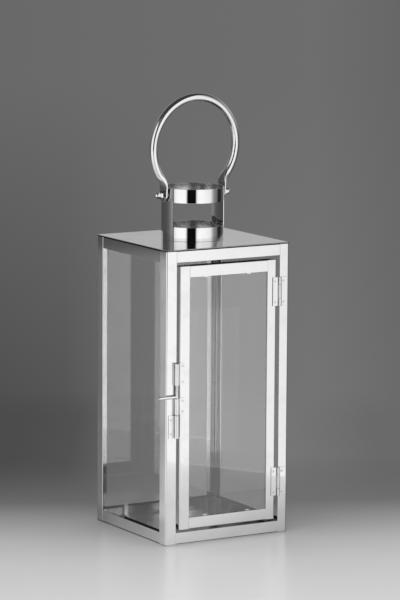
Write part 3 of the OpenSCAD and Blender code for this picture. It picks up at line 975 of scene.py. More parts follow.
@dataclass
class Casing:
    """The square body: floor and top plates, four corner posts and eight rails.

    Attributes:
        post_fold: Outside radius of the posts' folds.
        rail_fold: Outside radius of the rails' folds.
        corner: Radius of the plates' corners.
        edge: How far the plates' edges are broken.
        wall: How far the vent's edge lies inside the rings.
        lean: Degrees by which the front left post's side leg leans out.
        rim: Radius of the top plate's upper edge.
        side_points: Points along a plate's side.
        corner_points: Points round a plate's corner.
    """

    post_fold: float = 2.0
    rail_fold: float = 1.2
    corner: float = 2.0
    edge: float = 0.2
    wall: float = 2.2
    lean: float = 1.5
    rim: float = 1.1
    side_points: int = 25
    corner_points: int = 11

    def plate_outline(self, node: str, bearings: np.ndarray) -> np.ndarray:
        """Outline of a square plate with rounded corners, by bearing.

        A bearing meets the straight side at half the width over the larger of
        its cosine and sine, or, past the end of the side, meets the circle of
        the corner: the larger root of its quadratic.

        Args:
            node: The plate's frame node.
            bearings: Bearings in radians.

        Returns:
            The x, y points.
        """
        half = float(limits(node)[1][0])
        c, s = np.abs(np.cos(bearings)), np.abs(np.sin(bearings))
        straight = half / np.maximum(c, s)
        inner = half - self.corner
        along = inner * (c + s)
        round_end = along + np.sqrt(np.maximum(0, along**2 - 2 * inner**2 + self.corner**2))
        past = straight * np.minimum(c, s) > inner
        reach = np.where(past, round_end, straight)
        return np.column_stack([reach * np.cos(bearings), reach * np.sin(bearings)])

    def bearings(self, node: str) -> np.ndarray:
        """Bearings round a plate, evenly spread on its sides and close at its corners.

        A corner's own spread on each side of its diagonal comes from the
        bearing at which the straight side ends.

        Args:
            node: The plate's frame node.

        Returns:
            The bearings in radians.
        """
        half = float(limits(node)[1][0])
        diagonal = math.pi / 4
        spread = math.atan2(half, half - self.corner) - diagonal
        end = diagonal - 1.3 * spread
        side = np.linspace(-end, end, self.side_points)
        corner = np.linspace(diagonal - spread, diagonal + spread, self.corner_points)
        quarter = np.concatenate([side, corner])
        return (quarter[None] + np.arange(4)[:, None] * math.pi / 2).ravel()

    def plates(self) -> None:
        """The plain floor plate and the top plate with its round vent."""
        around = self.bearings("floor_plate")
        low, high = limits("floor_plate")
        floor = prism(self.plate_outline("floor_plate", around), low[2], high[2], self.edge)
        place("floor_plate", floor, Finishes.FLOOR, Rides.BODY)
        around = self.bearings("top_plate")
        low, high = limits("top_plate")
        vent = limits("chimney_ring_lower")[1][0] - self.wall
        hole = vent * np.column_stack([np.cos(around), np.sin(around)])
        top = pierced(self.plate_outline("top_plate", around), hole, low[2], high[2],
                      self.edge, self.rim)
        place("top_plate", top, Finishes.PLATE, Rides.BODY)

    def leaned(self, post: Surface, node: str) -> Surface:
        """The front left post with its side leg bent a little less than square.

        Points move outwards by the lean's tangent times their distance behind
        the fold.

        Args:
            post: The post's skin.
            node: Its frame node.

        Returns:
            The skin with its side leg leaning out.
        """
        points = post.points.copy()
        low = limits(node)[0]
        behind = np.clip(points[:, 1] - low[1] - self.post_fold, 0, None)
        points[:, 0] -= behind * math.tan(math.radians(self.lean))
        return Surface(points, post.faces)

    def posts(self) -> None:
        """Four corner posts, each an upright fold of sheet."""
        for end, y in (("front", -1), ("rear", 1)):
            for side, x in (("left", -1), ("right", 1)):
                node = f"post_{end}_{side}"
                post = folded_part(node, Axis.Z, (x, y), self.post_fold)
                if node == "post_front_left":
                    post = self.leaned(post, node)
                place(node, post, Finishes.POST, Rides.BODY)

    def rails(self) -> None:
        """Eight rails, each a face with one fold turned inwards."""
        for level, z in (("bottom", -1), ("top", 1)):
            for side, run, corner in (
                ("front", Axis.X, (-1, z)), ("rear", Axis.X, (1, z)),
                ("left", Axis.Y, (z, -1)), ("right", Axis.Y, (z, 1)),
            ):
                node = f"{level}_rail_{side}"
                rail = folded_part(node, run, corner, self.rail_fold)
                finish = Finishes.RAIL_X if run is Axis.X else Finishes.RAIL_Y
                place(node, rail, finish, Rides.BODY)

    def build(self) -> None:
        """Makes the casing's pieces."""
        self.plates()
        self.posts()
        self.rails()


@dataclass
class Glazing:
    """The three fixed panes and the bent lugs that hold them.

    Attributes:
        play: How far a pane's faces stay off the metal.
        grind: How far its edges are ground off.
        lug_width: Width of a lug.
        lug_sheet: Thickness of a lug.
        lug_fold: Outside radius of its bend.
        lug_foot: Length of its foot.
        lug_show: How far a lug shows past its rail.
        lug_edge: How far its edges are broken.
        low_at: Distance of the lower lugs from the middle of a pane.
        high_at: Distance of the upper lugs from it.
    """

    play: float = 0.05
    grind: float = 0.35
    lug_width: float = 5.0
    lug_sheet: float = 1.0
    lug_fold: float = 1.3
    lug_foot: float = 3.0
    lug_show: float = 1.5
    lug_edge: float = 0.1
    low_at: float = 42.0
    high_at: float = 25.0

    def pane(self, node: str) -> Surface:
        """A pane with ground edges, a little inside its frame node's box.

        Args:
            node: The pane's frame node.

        Returns:
            The closed skin.
        """
        low, high = limits(node)
        low, high = low + self.play, high - self.play
        outline = rounded_box(low[:2], high[:2], self.grind, steps=2)
        return prism(outline, low[2], high[2], self.grind)

    def lug(self, foot: float, height: float) -> Surface:
        """A bent lug on the -Y side of the origin's upright plane.

        Its upright stands on y = 0 and its foot runs to +Y: a folded outline
        carried across X.

        Args:
            foot: Length of the foot.
            height: Height of the upright.

        Returns:
            The closed skin, centred across X, standing on z = 0.
        """
        outline = folded(foot, height, self.lug_fold, self.lug_sheet, self.lug_edge)
        half = self.lug_width / 2
        return prism(outline, -half, half, self.lug_edge).laid(Axis.X)

    def lugs(self) -> Surface:
        """All the lugs of the fixed panes, four on each of three faces.

        A face's lugs are made in front of the -Y side, the upper ones upside
        down, and turned about the upright axis to their own side.

        Returns:
            The closed skins.
        """
        low, high = limits("glass_lugs")
        pane_face = limits("glass_rear")[0][1]
        rail_top = limits("bottom_rail_rear")[1][2]
        lug = self.lug(self.lug_foot, rail_top - low[2] + self.lug_show)
        made: list[Surface] = []
        for turn in (-90, 90, 180):
            for side in (-1, 1):
                lower = lug.moved(side * self.low_at, -pane_face, low[2])
                upper = lug.scaled(z=-1).moved(side * self.high_at, -pane_face, high[2])
                made += [lower.turned_about_z(turn), upper.turned_about_z(turn)]
        return made[0].joined(*made[1:])

    def build(self) -> None:
        """Makes the panes and their lugs."""
        for side in ("left", "right", "rear"):
            node = f"glass_{side}"
            place(node, self.pane(node), Finishes.DARK_FOOTED, Rides.BODY, crease=FLAT)
        place("glass_lugs", self.lugs(), Finishes.FITTING, Rides.BODY)


@dataclass
class Chimney:
    """Two polished rings and the curved straps that carry the upper one.

    Attributes:
        sheet: Thickness of the rings and straps.
        half_angle: Half of the angle that a strap spans.
        rim: Radius of the rings' softened edges.
        edge: How far the straps' edges are broken.
        ring_steps: Steps round a ring.
        strap_steps: Steps across a strap.
    """

    sheet: float = 1.0
    half_angle: float = 21.2
    rim: float = 0.3
    edge: float = 0.18
    ring_steps: int = 128
    strap_steps: int = 28

    def ring(self, node: str) -> Surface:
        """A ring of sheet with softened rims.

        Its section is a rounded box, with a point more after each corner that
        keeps the flat past it flat, carried round the upright axis.

        Args:
            node: The ring's frame node.

        Returns:
            The closed skin.
        """
        low, high = limits(node)
        outer, inner = high[0], high[0] - self.sheet
        section = rounded_box((inner, low[2]), (outer, high[2]), self.rim)
        over, beside = self.rim * 1.2, self.rim * 1.4
        section = np.insert(section, [4, 8, 12, 16], [
            [outer - over, high[2]], [inner, high[2] - beside],
            [inner + over, low[2]], [outer, low[2] + beside],
        ], axis=0)
        return swept_round(section, 0, 360, self.ring_steps, self.edge)

    def strap(self, node: str, facing: float) -> Surface:
        """A strap that follows the rings: a box carried part of the way round.

        Args:
            node: The strap's frame node.
            facing: Bearing of its middle in degrees.

        Returns:
            The closed skin.
        """
        low, high = limits(node)
        outer = max(abs(low[0]), abs(high[0]))
        section = rounded_box((outer - self.sheet, low[2]), (outer, high[2]), self.edge, steps=1)
        return swept_round(section, facing - self.half_angle, facing + self.half_angle,
                           self.strap_steps, self.edge)

    def build(self) -> None:
        """Makes the rings and straps."""
        for level in ("lower", "upper"):
            node = f"chimney_ring_{level}"
            place(node, self.ring(node), Finishes.RING, Rides.BODY)
        for side, facing in (("left", 180.0), ("right", 0.0)):
            node = f"chimney_strap_{side}"
            place(node, self.strap(node, facing), Finishes.RING, Rides.BODY)


@dataclass
class Pivots:
    """The two pivots of the handle: button-head bolts, washers and cap nuts.

    Attributes:
        ring_sheet: Thickness of the ring that a bolt's head bears on.
        head_r: Radius of a bolt's head.
        head_h: Height of a bolt's head.
        head_band: Height of the band round the head, under its crown.
        head_edge: How far the head's edges are broken.
        crown_r: Radius of the crown's flat top.
        shank_r: Radius of its shank.
        tip: Chamfer of the shank's end.
        key_flats: Distance over flats of its key socket.
        key_depth: Depth of the socket.
        nut_flats: Distance over flats of a nut.
        nut_hex: Height of its hexagon.
        nut_length: Its whole length.
        dome_r: Radius of its dome.
        washer: Thickness of a washer.
        washer_edge: Radius of its softened rims.
        sides: Points round a bolt.
        nut_sides: Points round a nut.
    """

    ring_sheet: float = 1.0
    head_r: float = 4.4
    head_h: float = 2.4
    head_band: float = 0.7
    head_edge: float = 0.15
    crown_r: float = 2.0
    shank_r: float = 2.5
    tip: float = 0.4
    key_flats: float = 2.9
    key_depth: float = 1.3
    nut_flats: float = 8.0
    nut_hex: float = 4.0
    nut_length: float = 10.0
    dome_r: float = 3.7
    washer: float = 1.0
    washer_edge: float = 0.2
    sides: int = 48
    nut_sides: int = 96
    HAIR = 0.02  # height of a band that keeps a sharp edge sharp

    def bolt(self) -> Surface:
        """A bolt on the +X side, its head inwards and its shank to +X.

        Its radius by height starts on the hexagonal socket's floor, climbs its
        wall, crosses the crown, which is a quarter of an ellipse, and runs down
        the head and along the shank.

        Returns:
            The closed skin.
        """
        end = limits("pivot_bolts")[1][0]
        seat = self.seat()
        rim, rise = dome(1.0, 1.0, 7)
        keep = rim > 0.2  # the crown ends at its flat top, round the socket
        edge_r = self.head_r - self.head_edge
        reach = edge_r - (self.head_r - self.crown_r) * (1 - rim)
        crown = (seat - self.head_band - (self.head_h - self.head_band) * rise)[keep][::-1]
        key = hexagon(self.key_flats, self.sides)
        key_floor = seat - self.head_h + self.key_depth
        round_radii = [
            self.crown_r, *reach[keep][::-1], self.head_r, self.head_r, edge_r,
            self.shank_r, self.shank_r, self.shank_r - self.tip,
        ]
        radius = np.concatenate([
            [key * 0.02, key, key * 1.01], np.outer(round_radii, np.ones(self.sides)),
        ])
        height = np.array([
            key_floor, key_floor, crown[0] + self.HAIR, crown[0], *crown,
            seat - 0.5, seat - 0.12, seat, seat + 0.01, end - self.tip, end,
        ])
        return turned(radius, height).laid(Axis.X)

    def seat(self) -> float:
        """Where a bolt's head seats inside the ring, its rim on the ring's round face."""
        inner = limits("chimney_ring_upper")[1][0] - self.ring_sheet
        return math.sqrt(inner**2 - self.head_r**2)

    def nut(self) -> Surface:
        """A cap nut on the +X side.

        Its hexagon is the smaller of the hexagon's radius and that of the cone
        that takes its corners off, at each height; a domed cap stands on it.

        Returns:
            The closed skin.
        """
        start = limits("acorn_nuts")[1][0] - self.nut_length
        flat = np.ones(self.nut_sides)
        corner = self.nut_flats / 2 / math.cos(math.radians(30))
        cone = corner - np.array([0.45, 0.2, 0.0, 0.0, 0.2, 0.45])
        top = self.nut_hex
        hexed = np.minimum(hexagon(self.nut_flats, self.nut_sides), cone[:, None])
        rim, rise = dome(self.dome_r, self.dome_r, 12)
        neck = self.dome_r - 0.05
        radius = np.concatenate([
            np.outer([self.shank_r], flat), hexed,
            np.outer([self.dome_r + 0.12, neck, neck, *rim], flat),
        ])
        height = np.concatenate([
            [0.0, 0.0, 0.12, 0.5, top - 0.55, top - 0.17, top],
            [top + self.HAIR, top + 0.16, top + 0.6], self.nut_length - self.dome_r + rise,
        ])
        return turned(radius, height + start).laid(Axis.X)

    def washers_form(self) -> Surface:
        """A washer on the +X side: a rounded box carried round its axis.

        Returns:
            The closed skin.
        """
        high = limits("pivot_washers")[1]
        outer = high[2] - middle("pivot_washers")[2]
        section = rounded_box((self.shank_r, high[0] - self.washer), (outer, high[0]),
                              self.washer_edge, steps=2)
        return swept_round(section, 0, 360, 64, 0).laid(Axis.X)

    def build(self) -> None:
        """Makes the bolts, washers and nuts, each pair as one piece."""
        level = middle("pivot_washers")[2]
        for node, part, finish in (
            ("pivot_bolts", self.bolt(), Finishes.FASTENER),
            ("pivot_washers", self.washers_form(), Finishes.FASTENER),
            ("acorn_nuts", self.nut(), Finishes.NUT),
        ):
            pair = part.joined(part.scaled(x=-1)).moved(z=level)
            place(node, pair, finish, Rides.BODY)


@dataclass
class Door:
    """The glazed door: two stiles, two rails, its pane and the pane's clips.

    Attributes:
        fold: Outside radius of the folds.
        sheet: Thickness of the sheet.
        edge: How far a rail's long edges are broken.
        groove: How far its ends are broken, where it meets the stiles.
        tuck: How far its tongues lie inside its fold and run in from its ends.
        tongue_edge: How far the tongues' edges are broken.
        clip_at: Distance of a clip from the middle of the door.
        clip_show: How far a clip shows past its rail.
        clip_foot: Length of a clip's foot.
    """

    fold: float = 1.5
    sheet: float = 1.0
    edge: float = 0.12
    groove: float = 0.05
    tuck: tuple[float, float] = (0.02, 1.0)
    tongue_edge: float = 0.1
    clip_at: float = 28.0
    clip_show: float = 1.5
    clip_foot: float = 6.0

    def rail(self, node: str, top: bool) -> Surface:
        """A rail between the stiles, with its fold running on behind them.

        A folded outline is carried across between the stiles, and a thin box
        runs on from its fold at each end.

        Args:
            node: The rail's frame node.
            top: True for the top rail, whose fold is above.

        Returns:
            The closed skins of the rail and of its two tongues.
        """
        low, high = limits(node)
        left, right = limits("door_stile_latch")[1][0], limits("door_stile_hinge")[0][0]
        deep, tall = high[1] - low[1], high[2] - low[2]
        inside, lap = self.tuck
        outline = folded(deep, tall, self.fold, self.sheet, self.edge)
        face = prism(outline, left, right, self.groove).laid(Axis.X)
        tongue = rounded_box((self.fold, inside), (deep - inside, self.sheet - inside),
                             self.tongue_edge, steps=1)
        tongues = [
            prism(tongue, start, end, self.tongue_edge).laid(Axis.X)
            for start, end in ((low[0], left + lap), (right - lap, high[0]))
        ]
        rail = face.joined(*tongues)
        if top:
            return rail.scaled(z=-1).moved(y=low[1], z=high[2])
        return rail.moved(y=low[1], z=low[2])

    def clips(self, glazing: Glazing) -> Surface:
        """Four clips on the rails' folds against the pane's inner face.

        Args:
            glazing: Gives a clip's form, which is that of the panes' lugs.

        Returns:
            The closed skins, the upper ones upside down.
        """
        low, high = limits("door_glass_clips")
        pane_face = limits("door_glass")[1][1]
        centre = (limits("door_stile_latch")[0][0] + limits("door_stile_hinge")[1][0]) / 2
        rail_top = limits("door_rail_bottom")[1][2]
        clip = glazing.lug(self.clip_foot, rail_top - low[2] + self.clip_show)
        made: list[Surface] = []
        for side in (-1, 1):
            x = centre + side * self.clip_at
            made += [clip.moved(x, pane_face, low[2]),
                     clip.scaled(z=-1).moved(x, pane_face, high[2])]
        return made[0].joined(*made[1:])

    def build(self, glazing: Glazing) -> None:
        """Makes the door's pieces.

        Args:
            glazing: Gives the pane's and the clips' own forms.
        """
        for node, corner in (("door_stile_latch", (-1, -1)), ("door_stile_hinge", (1, -1))):
            stile = folded_part(node, Axis.Z, corner, self.fold)
            place(node, stile, Finishes.POST, Rides.DOOR)
        for node, top in (("door_rail_top", True), ("door_rail_bottom", False)):
            place(node, self.rail(node, top), Finishes.RAIL_X, Rides.DOOR)
        place("door_glass", glazing.pane("door_glass"), Finishes.GLASS, Rides.DOOR, crease=FLAT)
        place("door_glass_clips", self.clips(glazing), Finishes.FITTING, Rides.DOOR)


STEP_TURN = 35.0  # degrees that a plate's shallow step turns down and back
STEP_OUTER, STEP_INNER = 1.2, 0.4  # radii of the step's two bends along the plate's back
SEAM = 14.0  # degrees of open seam between a roll's edge and its plate
ROLL_END = 0.25  # straight end of a rolled sheet
ROLL_EDGE = 0.08  # how far its cut edges are broken


def rolled(reach: float, flat_y: float, sheet: float, roll: float, step_at: float) -> np.ndarray:
    """Outline of a plate that runs to the origin and rolls round it.

    The plate's back lies on y = flat_y; a shallow step brings it down to the
    roll's radius, and it then turns about the origin until its edge faces the
    plate again across a narrow seam. The step's slope is as long as the drop
    that its two bends leave, over the sine of its turn.

    Args:
        reach: Where the plate ends on the first axis.
        flat_y: Height of the plate's back.
        sheet: Thickness of the plate.
        roll: Outside radius of the roll.
        step_at: Where the step starts, if flat_y is more than the roll.

    Returns:
        The points of the outline.
    """
    path = SheetPath(np.array([reach, flat_y]), 180)
    if flat_y > roll + 0.01:
        slope = math.radians(STEP_TURN)
        drop = flat_y - roll - (STEP_OUTER + STEP_INNER) * (1 - math.cos(slope))
        path.ahead(reach - step_at).bend(STEP_TURN, STEP_OUTER)
        path.ahead(drop / math.sin(slope) - SheetPath.HOLD)
        path.bend(-STEP_TURN, STEP_INNER).ahead(path.at[0])
    else:
        path.ahead(reach)
    past = math.degrees(math.asin(1 - sheet / roll)) - SEAM
    return path.bend(270 + past, roll).ahead(ROLL_END).profile(sheet, ROLL_EDGE)


@dataclass
class Hinges:
    """Two butt hinges: a leaf on the post, a leaf on the door and a pin each.

    Attributes:
        leaf: Thickness of a leaf.
        knuckle: Height of an outer knuckle.
        slit: Gap between neighbouring knuckles.
        clear: Distance of the plates from the axis.
        play: How far the leaves stay off the post and the door.
        edge: How far the leaves' and the pin's edges are broken.
        corner: How far the plates' long edges are broken.
        pin_r: Radius of the pin.
        head_r: Radius of the pin's spread ends.
        head_h: Height of the pin's spread ends.
    """

    leaf: float = 0.9
    knuckle: float = 8.4
    slit: float = 0.2
    clear: float = 2.2
    play: float = 0.03
    edge: float = 0.12
    corner: float = 0.1
    pin_r: float = 0.97
    head_r: float = 1.4
    head_h: float = 0.5

    def leaf_form(self, level: str, side: int) -> Surface:
        """One leaf with its rolled knuckles.

        The plate and the rolled outline are both carried straight up, the
        outline over the outer knuckles on the post and the inner one on the
        door.

        Args:
            level: Which hinge, lower or upper.
            side: 1 for the post's leaf, -1 for the door's.

        Returns:
            The closed skins of its plate and knuckles.
        """
        node = f"hinge_{'post' if side > 0 else 'door'}_leaf_{level}"
        low, high = limits(node)
        pin = middle(f"hinge_pin_{level}")
        roll = high[1] - pin[1] - self.play
        width = high[0] - pin[0] if side > 0 else pin[0] - low[0]
        plate = rounded_box((self.clear, roll - self.leaf), (width, roll), self.corner, steps=1)
        foot, top = (corner[2] for corner in limits(f"hinge_post_leaf_{level}"))
        outline = rolled(self.clear, roll, self.leaf, roll, 0.0)
        inner = (foot + self.knuckle + self.slit, top - self.knuckle - self.slit)
        spans = ((foot, foot + self.knuckle), (top - self.knuckle, top)) if side > 0 else (inner,)
        knuckles = [prism(outline, start, end, self.edge) for start, end in spans]
        whole = prism(plate, foot, top, self.edge).joined(*knuckles)
        return whole.scaled(x=side).moved(pin[0], pin[1])

    def pin(self, level: str) -> Surface:
        """A pin with its two ends spread into low domes.

        Its radius by height goes over the lower dome, along the shank and over
        the upper dome, about the upright axis.

        Args:
            level: Which hinge, lower or upper.

        Returns:
            The closed skin.
        """
        node = f"hinge_pin_{level}"
        low, high = limits(node)
        at = middle(node)
        rim, rise = dome(self.head_r, self.head_h - self.edge, 5)
        foot, top = low[2] + self.head_h, high[2] - self.head_h
        shank = [self.head_r, self.pin_r, self.pin_r, self.head_r]
        radius = np.concatenate([rim[::-1], shank, rim])
        height = np.concatenate([
            foot - self.edge - rise[::-1], [foot, foot, top, top], top + self.edge + rise,
        ])
        return turned(radius, height, sides=32).moved(at[0], at[1])

    def build(self) -> None:
        """Makes both hinges."""
        for level in ("lower", "upper"):
            for part, side, rides in (("post", 1, Rides.BODY), ("door", -1, Rides.DOOR)):
                node = f"hinge_{part}_leaf_{level}"
                place(node, self.leaf_form(level, side), Finishes.FITTING, rides)
            place(f"hinge_pin_{level}", self.pin(level), Finishes.FASTENER, Rides.BODY)


@dataclass
class Latch:
    """The sliding bolt, its two guides on the door and its keeper on the post.

    Attributes:
        sheet: Thickness of the guides and the keeper.
        step_at: Distance from the axis at which their plates step up.
        edge: How far their end edges are broken.
        end_break: How far the rod's ends are broken.
        lever_r: Radius of the lever.
        lever_foot: Radius of the lever's foot in the rod, over the lever's own.
    """

    sheet: float = 0.75
    step_at: float = 5.2
    edge: float = 0.12
    end_break: float = 0.4
    lever_r: float = 1.75
    lever_foot: float = 0.6

    def sleeve(self, node: str, side: int) -> Surface:
        """A plate rolled round the rod's axis, its outline carried straight up.

        Args:
            node: Its frame node.
            side: 1 if the plate lies to +X of the rod, -1 if to -X.

        Returns:
            The closed skin.
        """
        low, high = limits(node)
        axis = middle("bolt_rod")
        roll = axis[1] - low[1]
        reach = high[0] - axis[0] if side > 0 else axis[0] - low[0]
        outline = rolled(reach, high[1] - axis[1], self.sheet, roll, self.step_at)
        sleeve = prism(outline, low[2], high[2], self.edge)
        return sleeve.scaled(x=side).moved(axis[0], axis[1])

    def rod(self) -> Surface:
        """The rod, turned about its axis, each end a chamfer of two slopes.

        Returns:
            The closed skin.
        """
        low, high = limits("bolt_rod")
        at = middle("bolt_rod")
        radius = high[0] - at[0]
        cut = self.end_break
        reach = [radius - cut, radius - 0.1, radius, radius, radius - 0.1, radius - cut]
        rise = np.array([0.0, cut * 0.8, cut * 1.3])
        level = np.concatenate([low[2] + rise, high[2] - rise[::-1]])
        return turned(reach, level).moved(at[0], at[1])

    def lever(self) -> Surface:
        """The lever, turned about its own axis: a rod to -X with a domed end.

        Its foot narrows inside the rod that it is welded to.

        Returns:
            The closed skin.
        """
        low, high = limits("bolt_lever")
        at = middle("bolt_rod")
        rod_r = limits("bolt_rod")[1][0] - at[0]
        rim, rise = dome(self.lever_r, self.lever_r, 10)
        start = math.sqrt(rod_r**2 - (rod_r * self.lever_foot) ** 2)
        radius = np.concatenate([
            [self.lever_r * self.lever_foot, self.lever_r, self.lever_r], rim,
        ])
        level = np.concatenate([
            [start * 0.9, rod_r * 0.4, rod_r * 1.2], at[0] - low[0] - self.lever_r + rise,
        ])
        lever = turned(radius, level).laid(Axis.X).scaled(x=-1)
        return lever.moved(at[0], at[1], (low[2] + high[2]) / 2)

    def build(self) -> None:
        """Makes the latch's pieces."""
        for node in ("bolt_guide_lower", "bolt_guide_upper"):
            place(node, self.sleeve(node, 1), Finishes.FITTING, Rides.DOOR)
        place("bolt_keeper", self.sleeve("bolt_keeper", -1), Finishes.FITTING, Rides.BODY)
        place("bolt_rod", self.rod(), Finishes.FASTENER, Rides.BOLT)
        place("bolt_lever", self.lever(), Finishes.FITTING, Rides.BOLT)


@dataclass
class Rivets:
    """Small domed rivets through the hinges' leaves, the guides and the keeper.

    Attributes:
        shank_r: Radius of a shank.
        head_r: Radius of a head.
        head_h: Height of a head.
        tail_r: Radius of the tail behind the sheet.
        sheet: Thickness of the post and the door's stiles.
        edge: How far the edges of head and tail are broken.
        hinge_up: Distance of a hinge's rivets above and below its middle.
        post_x: Distance of the post leaf's rivets from the axis.
        door_x: Distance of the door leaf's rivets from the axis.
        guide_x: Distance of a guide's rivets from the rod.
        keeper_x: Distance of the keeper's rivets from the rod.
        guide_end: Distance of a rivet from the end of a guide.
        keeper_end: Distance of a rivet from the end of the keeper.
    """

    shank_r: float = 0.9
    head_r: float = 1.3
    head_h: float = 0.4
    tail_r: float = 1.0
    sheet: float = 1.0
    edge: float = 0.1
    hinge_up: float = 12.0
    post_x: float = 4.7
    door_x: float = -6.5
    guide_x: float = 8.6
    keeper_x: float = -6.4
    guide_end: float = 3.3
    keeper_end: float = 5.0

    def rivet(self, plate: float) -> Surface:
        """A rivet along Y through a plate that lies on the front face, y = 0.

        Its radius by depth goes over the head's dome, along the shank and over
        the tail's dome.

        Args:
            plate: Thickness of the plate.

        Returns:
            The closed skin.
        """
        rim, rise = dome(self.head_r, self.head_h - self.edge, 6)
        tail, drop = dome(self.tail_r, self.head_h - self.edge, 4)
        shank = [self.head_r, self.shank_r, self.shank_r, self.tail_r]
        radius = np.concatenate([rim[::-1], shank, tail])
        level = np.concatenate([
            -plate - self.edge - rise[::-1], [-plate, -plate, self.sheet, self.sheet],
            self.sheet + self.edge + drop,
        ])
        return turned(radius, level, sides=28).laid(Axis.Y)

    def row(self, plate: float, x: float, *levels: float) -> list[Surface]:
        """Rivets above each other.

        Args:
            plate: Thickness of the plate that they hold.
            x: Where they stand across the front.
            *levels: Their heights.

        Returns:
            A closed skin for each.
        """
        face = limits("door_stile_latch")[0][1]
        rivet = self.rivet(plate)
        return [rivet.moved(x, face, z) for z in levels]

    def build(self, hinges: Hinges, latch: Latch) -> None:
        """Makes the rivets in the posts as one piece and those in the door as another.

        Args:
            hinges: Gives the thickness of a leaf.
            latch: Gives the thickness of a guide.
        """
        post: list[Surface] = []
        door: list[Surface] = []
        for level in ("lower", "upper"):
            x, _, z = middle(f"hinge_pin_{level}")
            post += self.row(hinges.leaf, x + self.post_x, z - self.hinge_up, z + self.hinge_up)
            door += self.row(hinges.leaf, x + self.door_x, z - self.hinge_up, z + self.hinge_up)
        rod = middle("bolt_rod")[0]
        for node, x, end, rivets in (
            ("bolt_keeper", rod + self.keeper_x, self.keeper_end, post),
            ("bolt_guide_lower", rod + self.guide_x, self.guide_end, door),
            ("bolt_guide_upper", rod + self.guide_x, self.guide_end, door),
        ):
            low, high = limits(node)
            rivets += self.row(latch.sheet, x, low[2] + end, high[2] - end)
        place("post_rivets", post[0].joined(*post[1:]), Finishes.FASTENER, Rides.BODY)
        place("door_rivets", door[0].joined(*door[1:]), Finishes.FASTENER, Rides.DOOR)


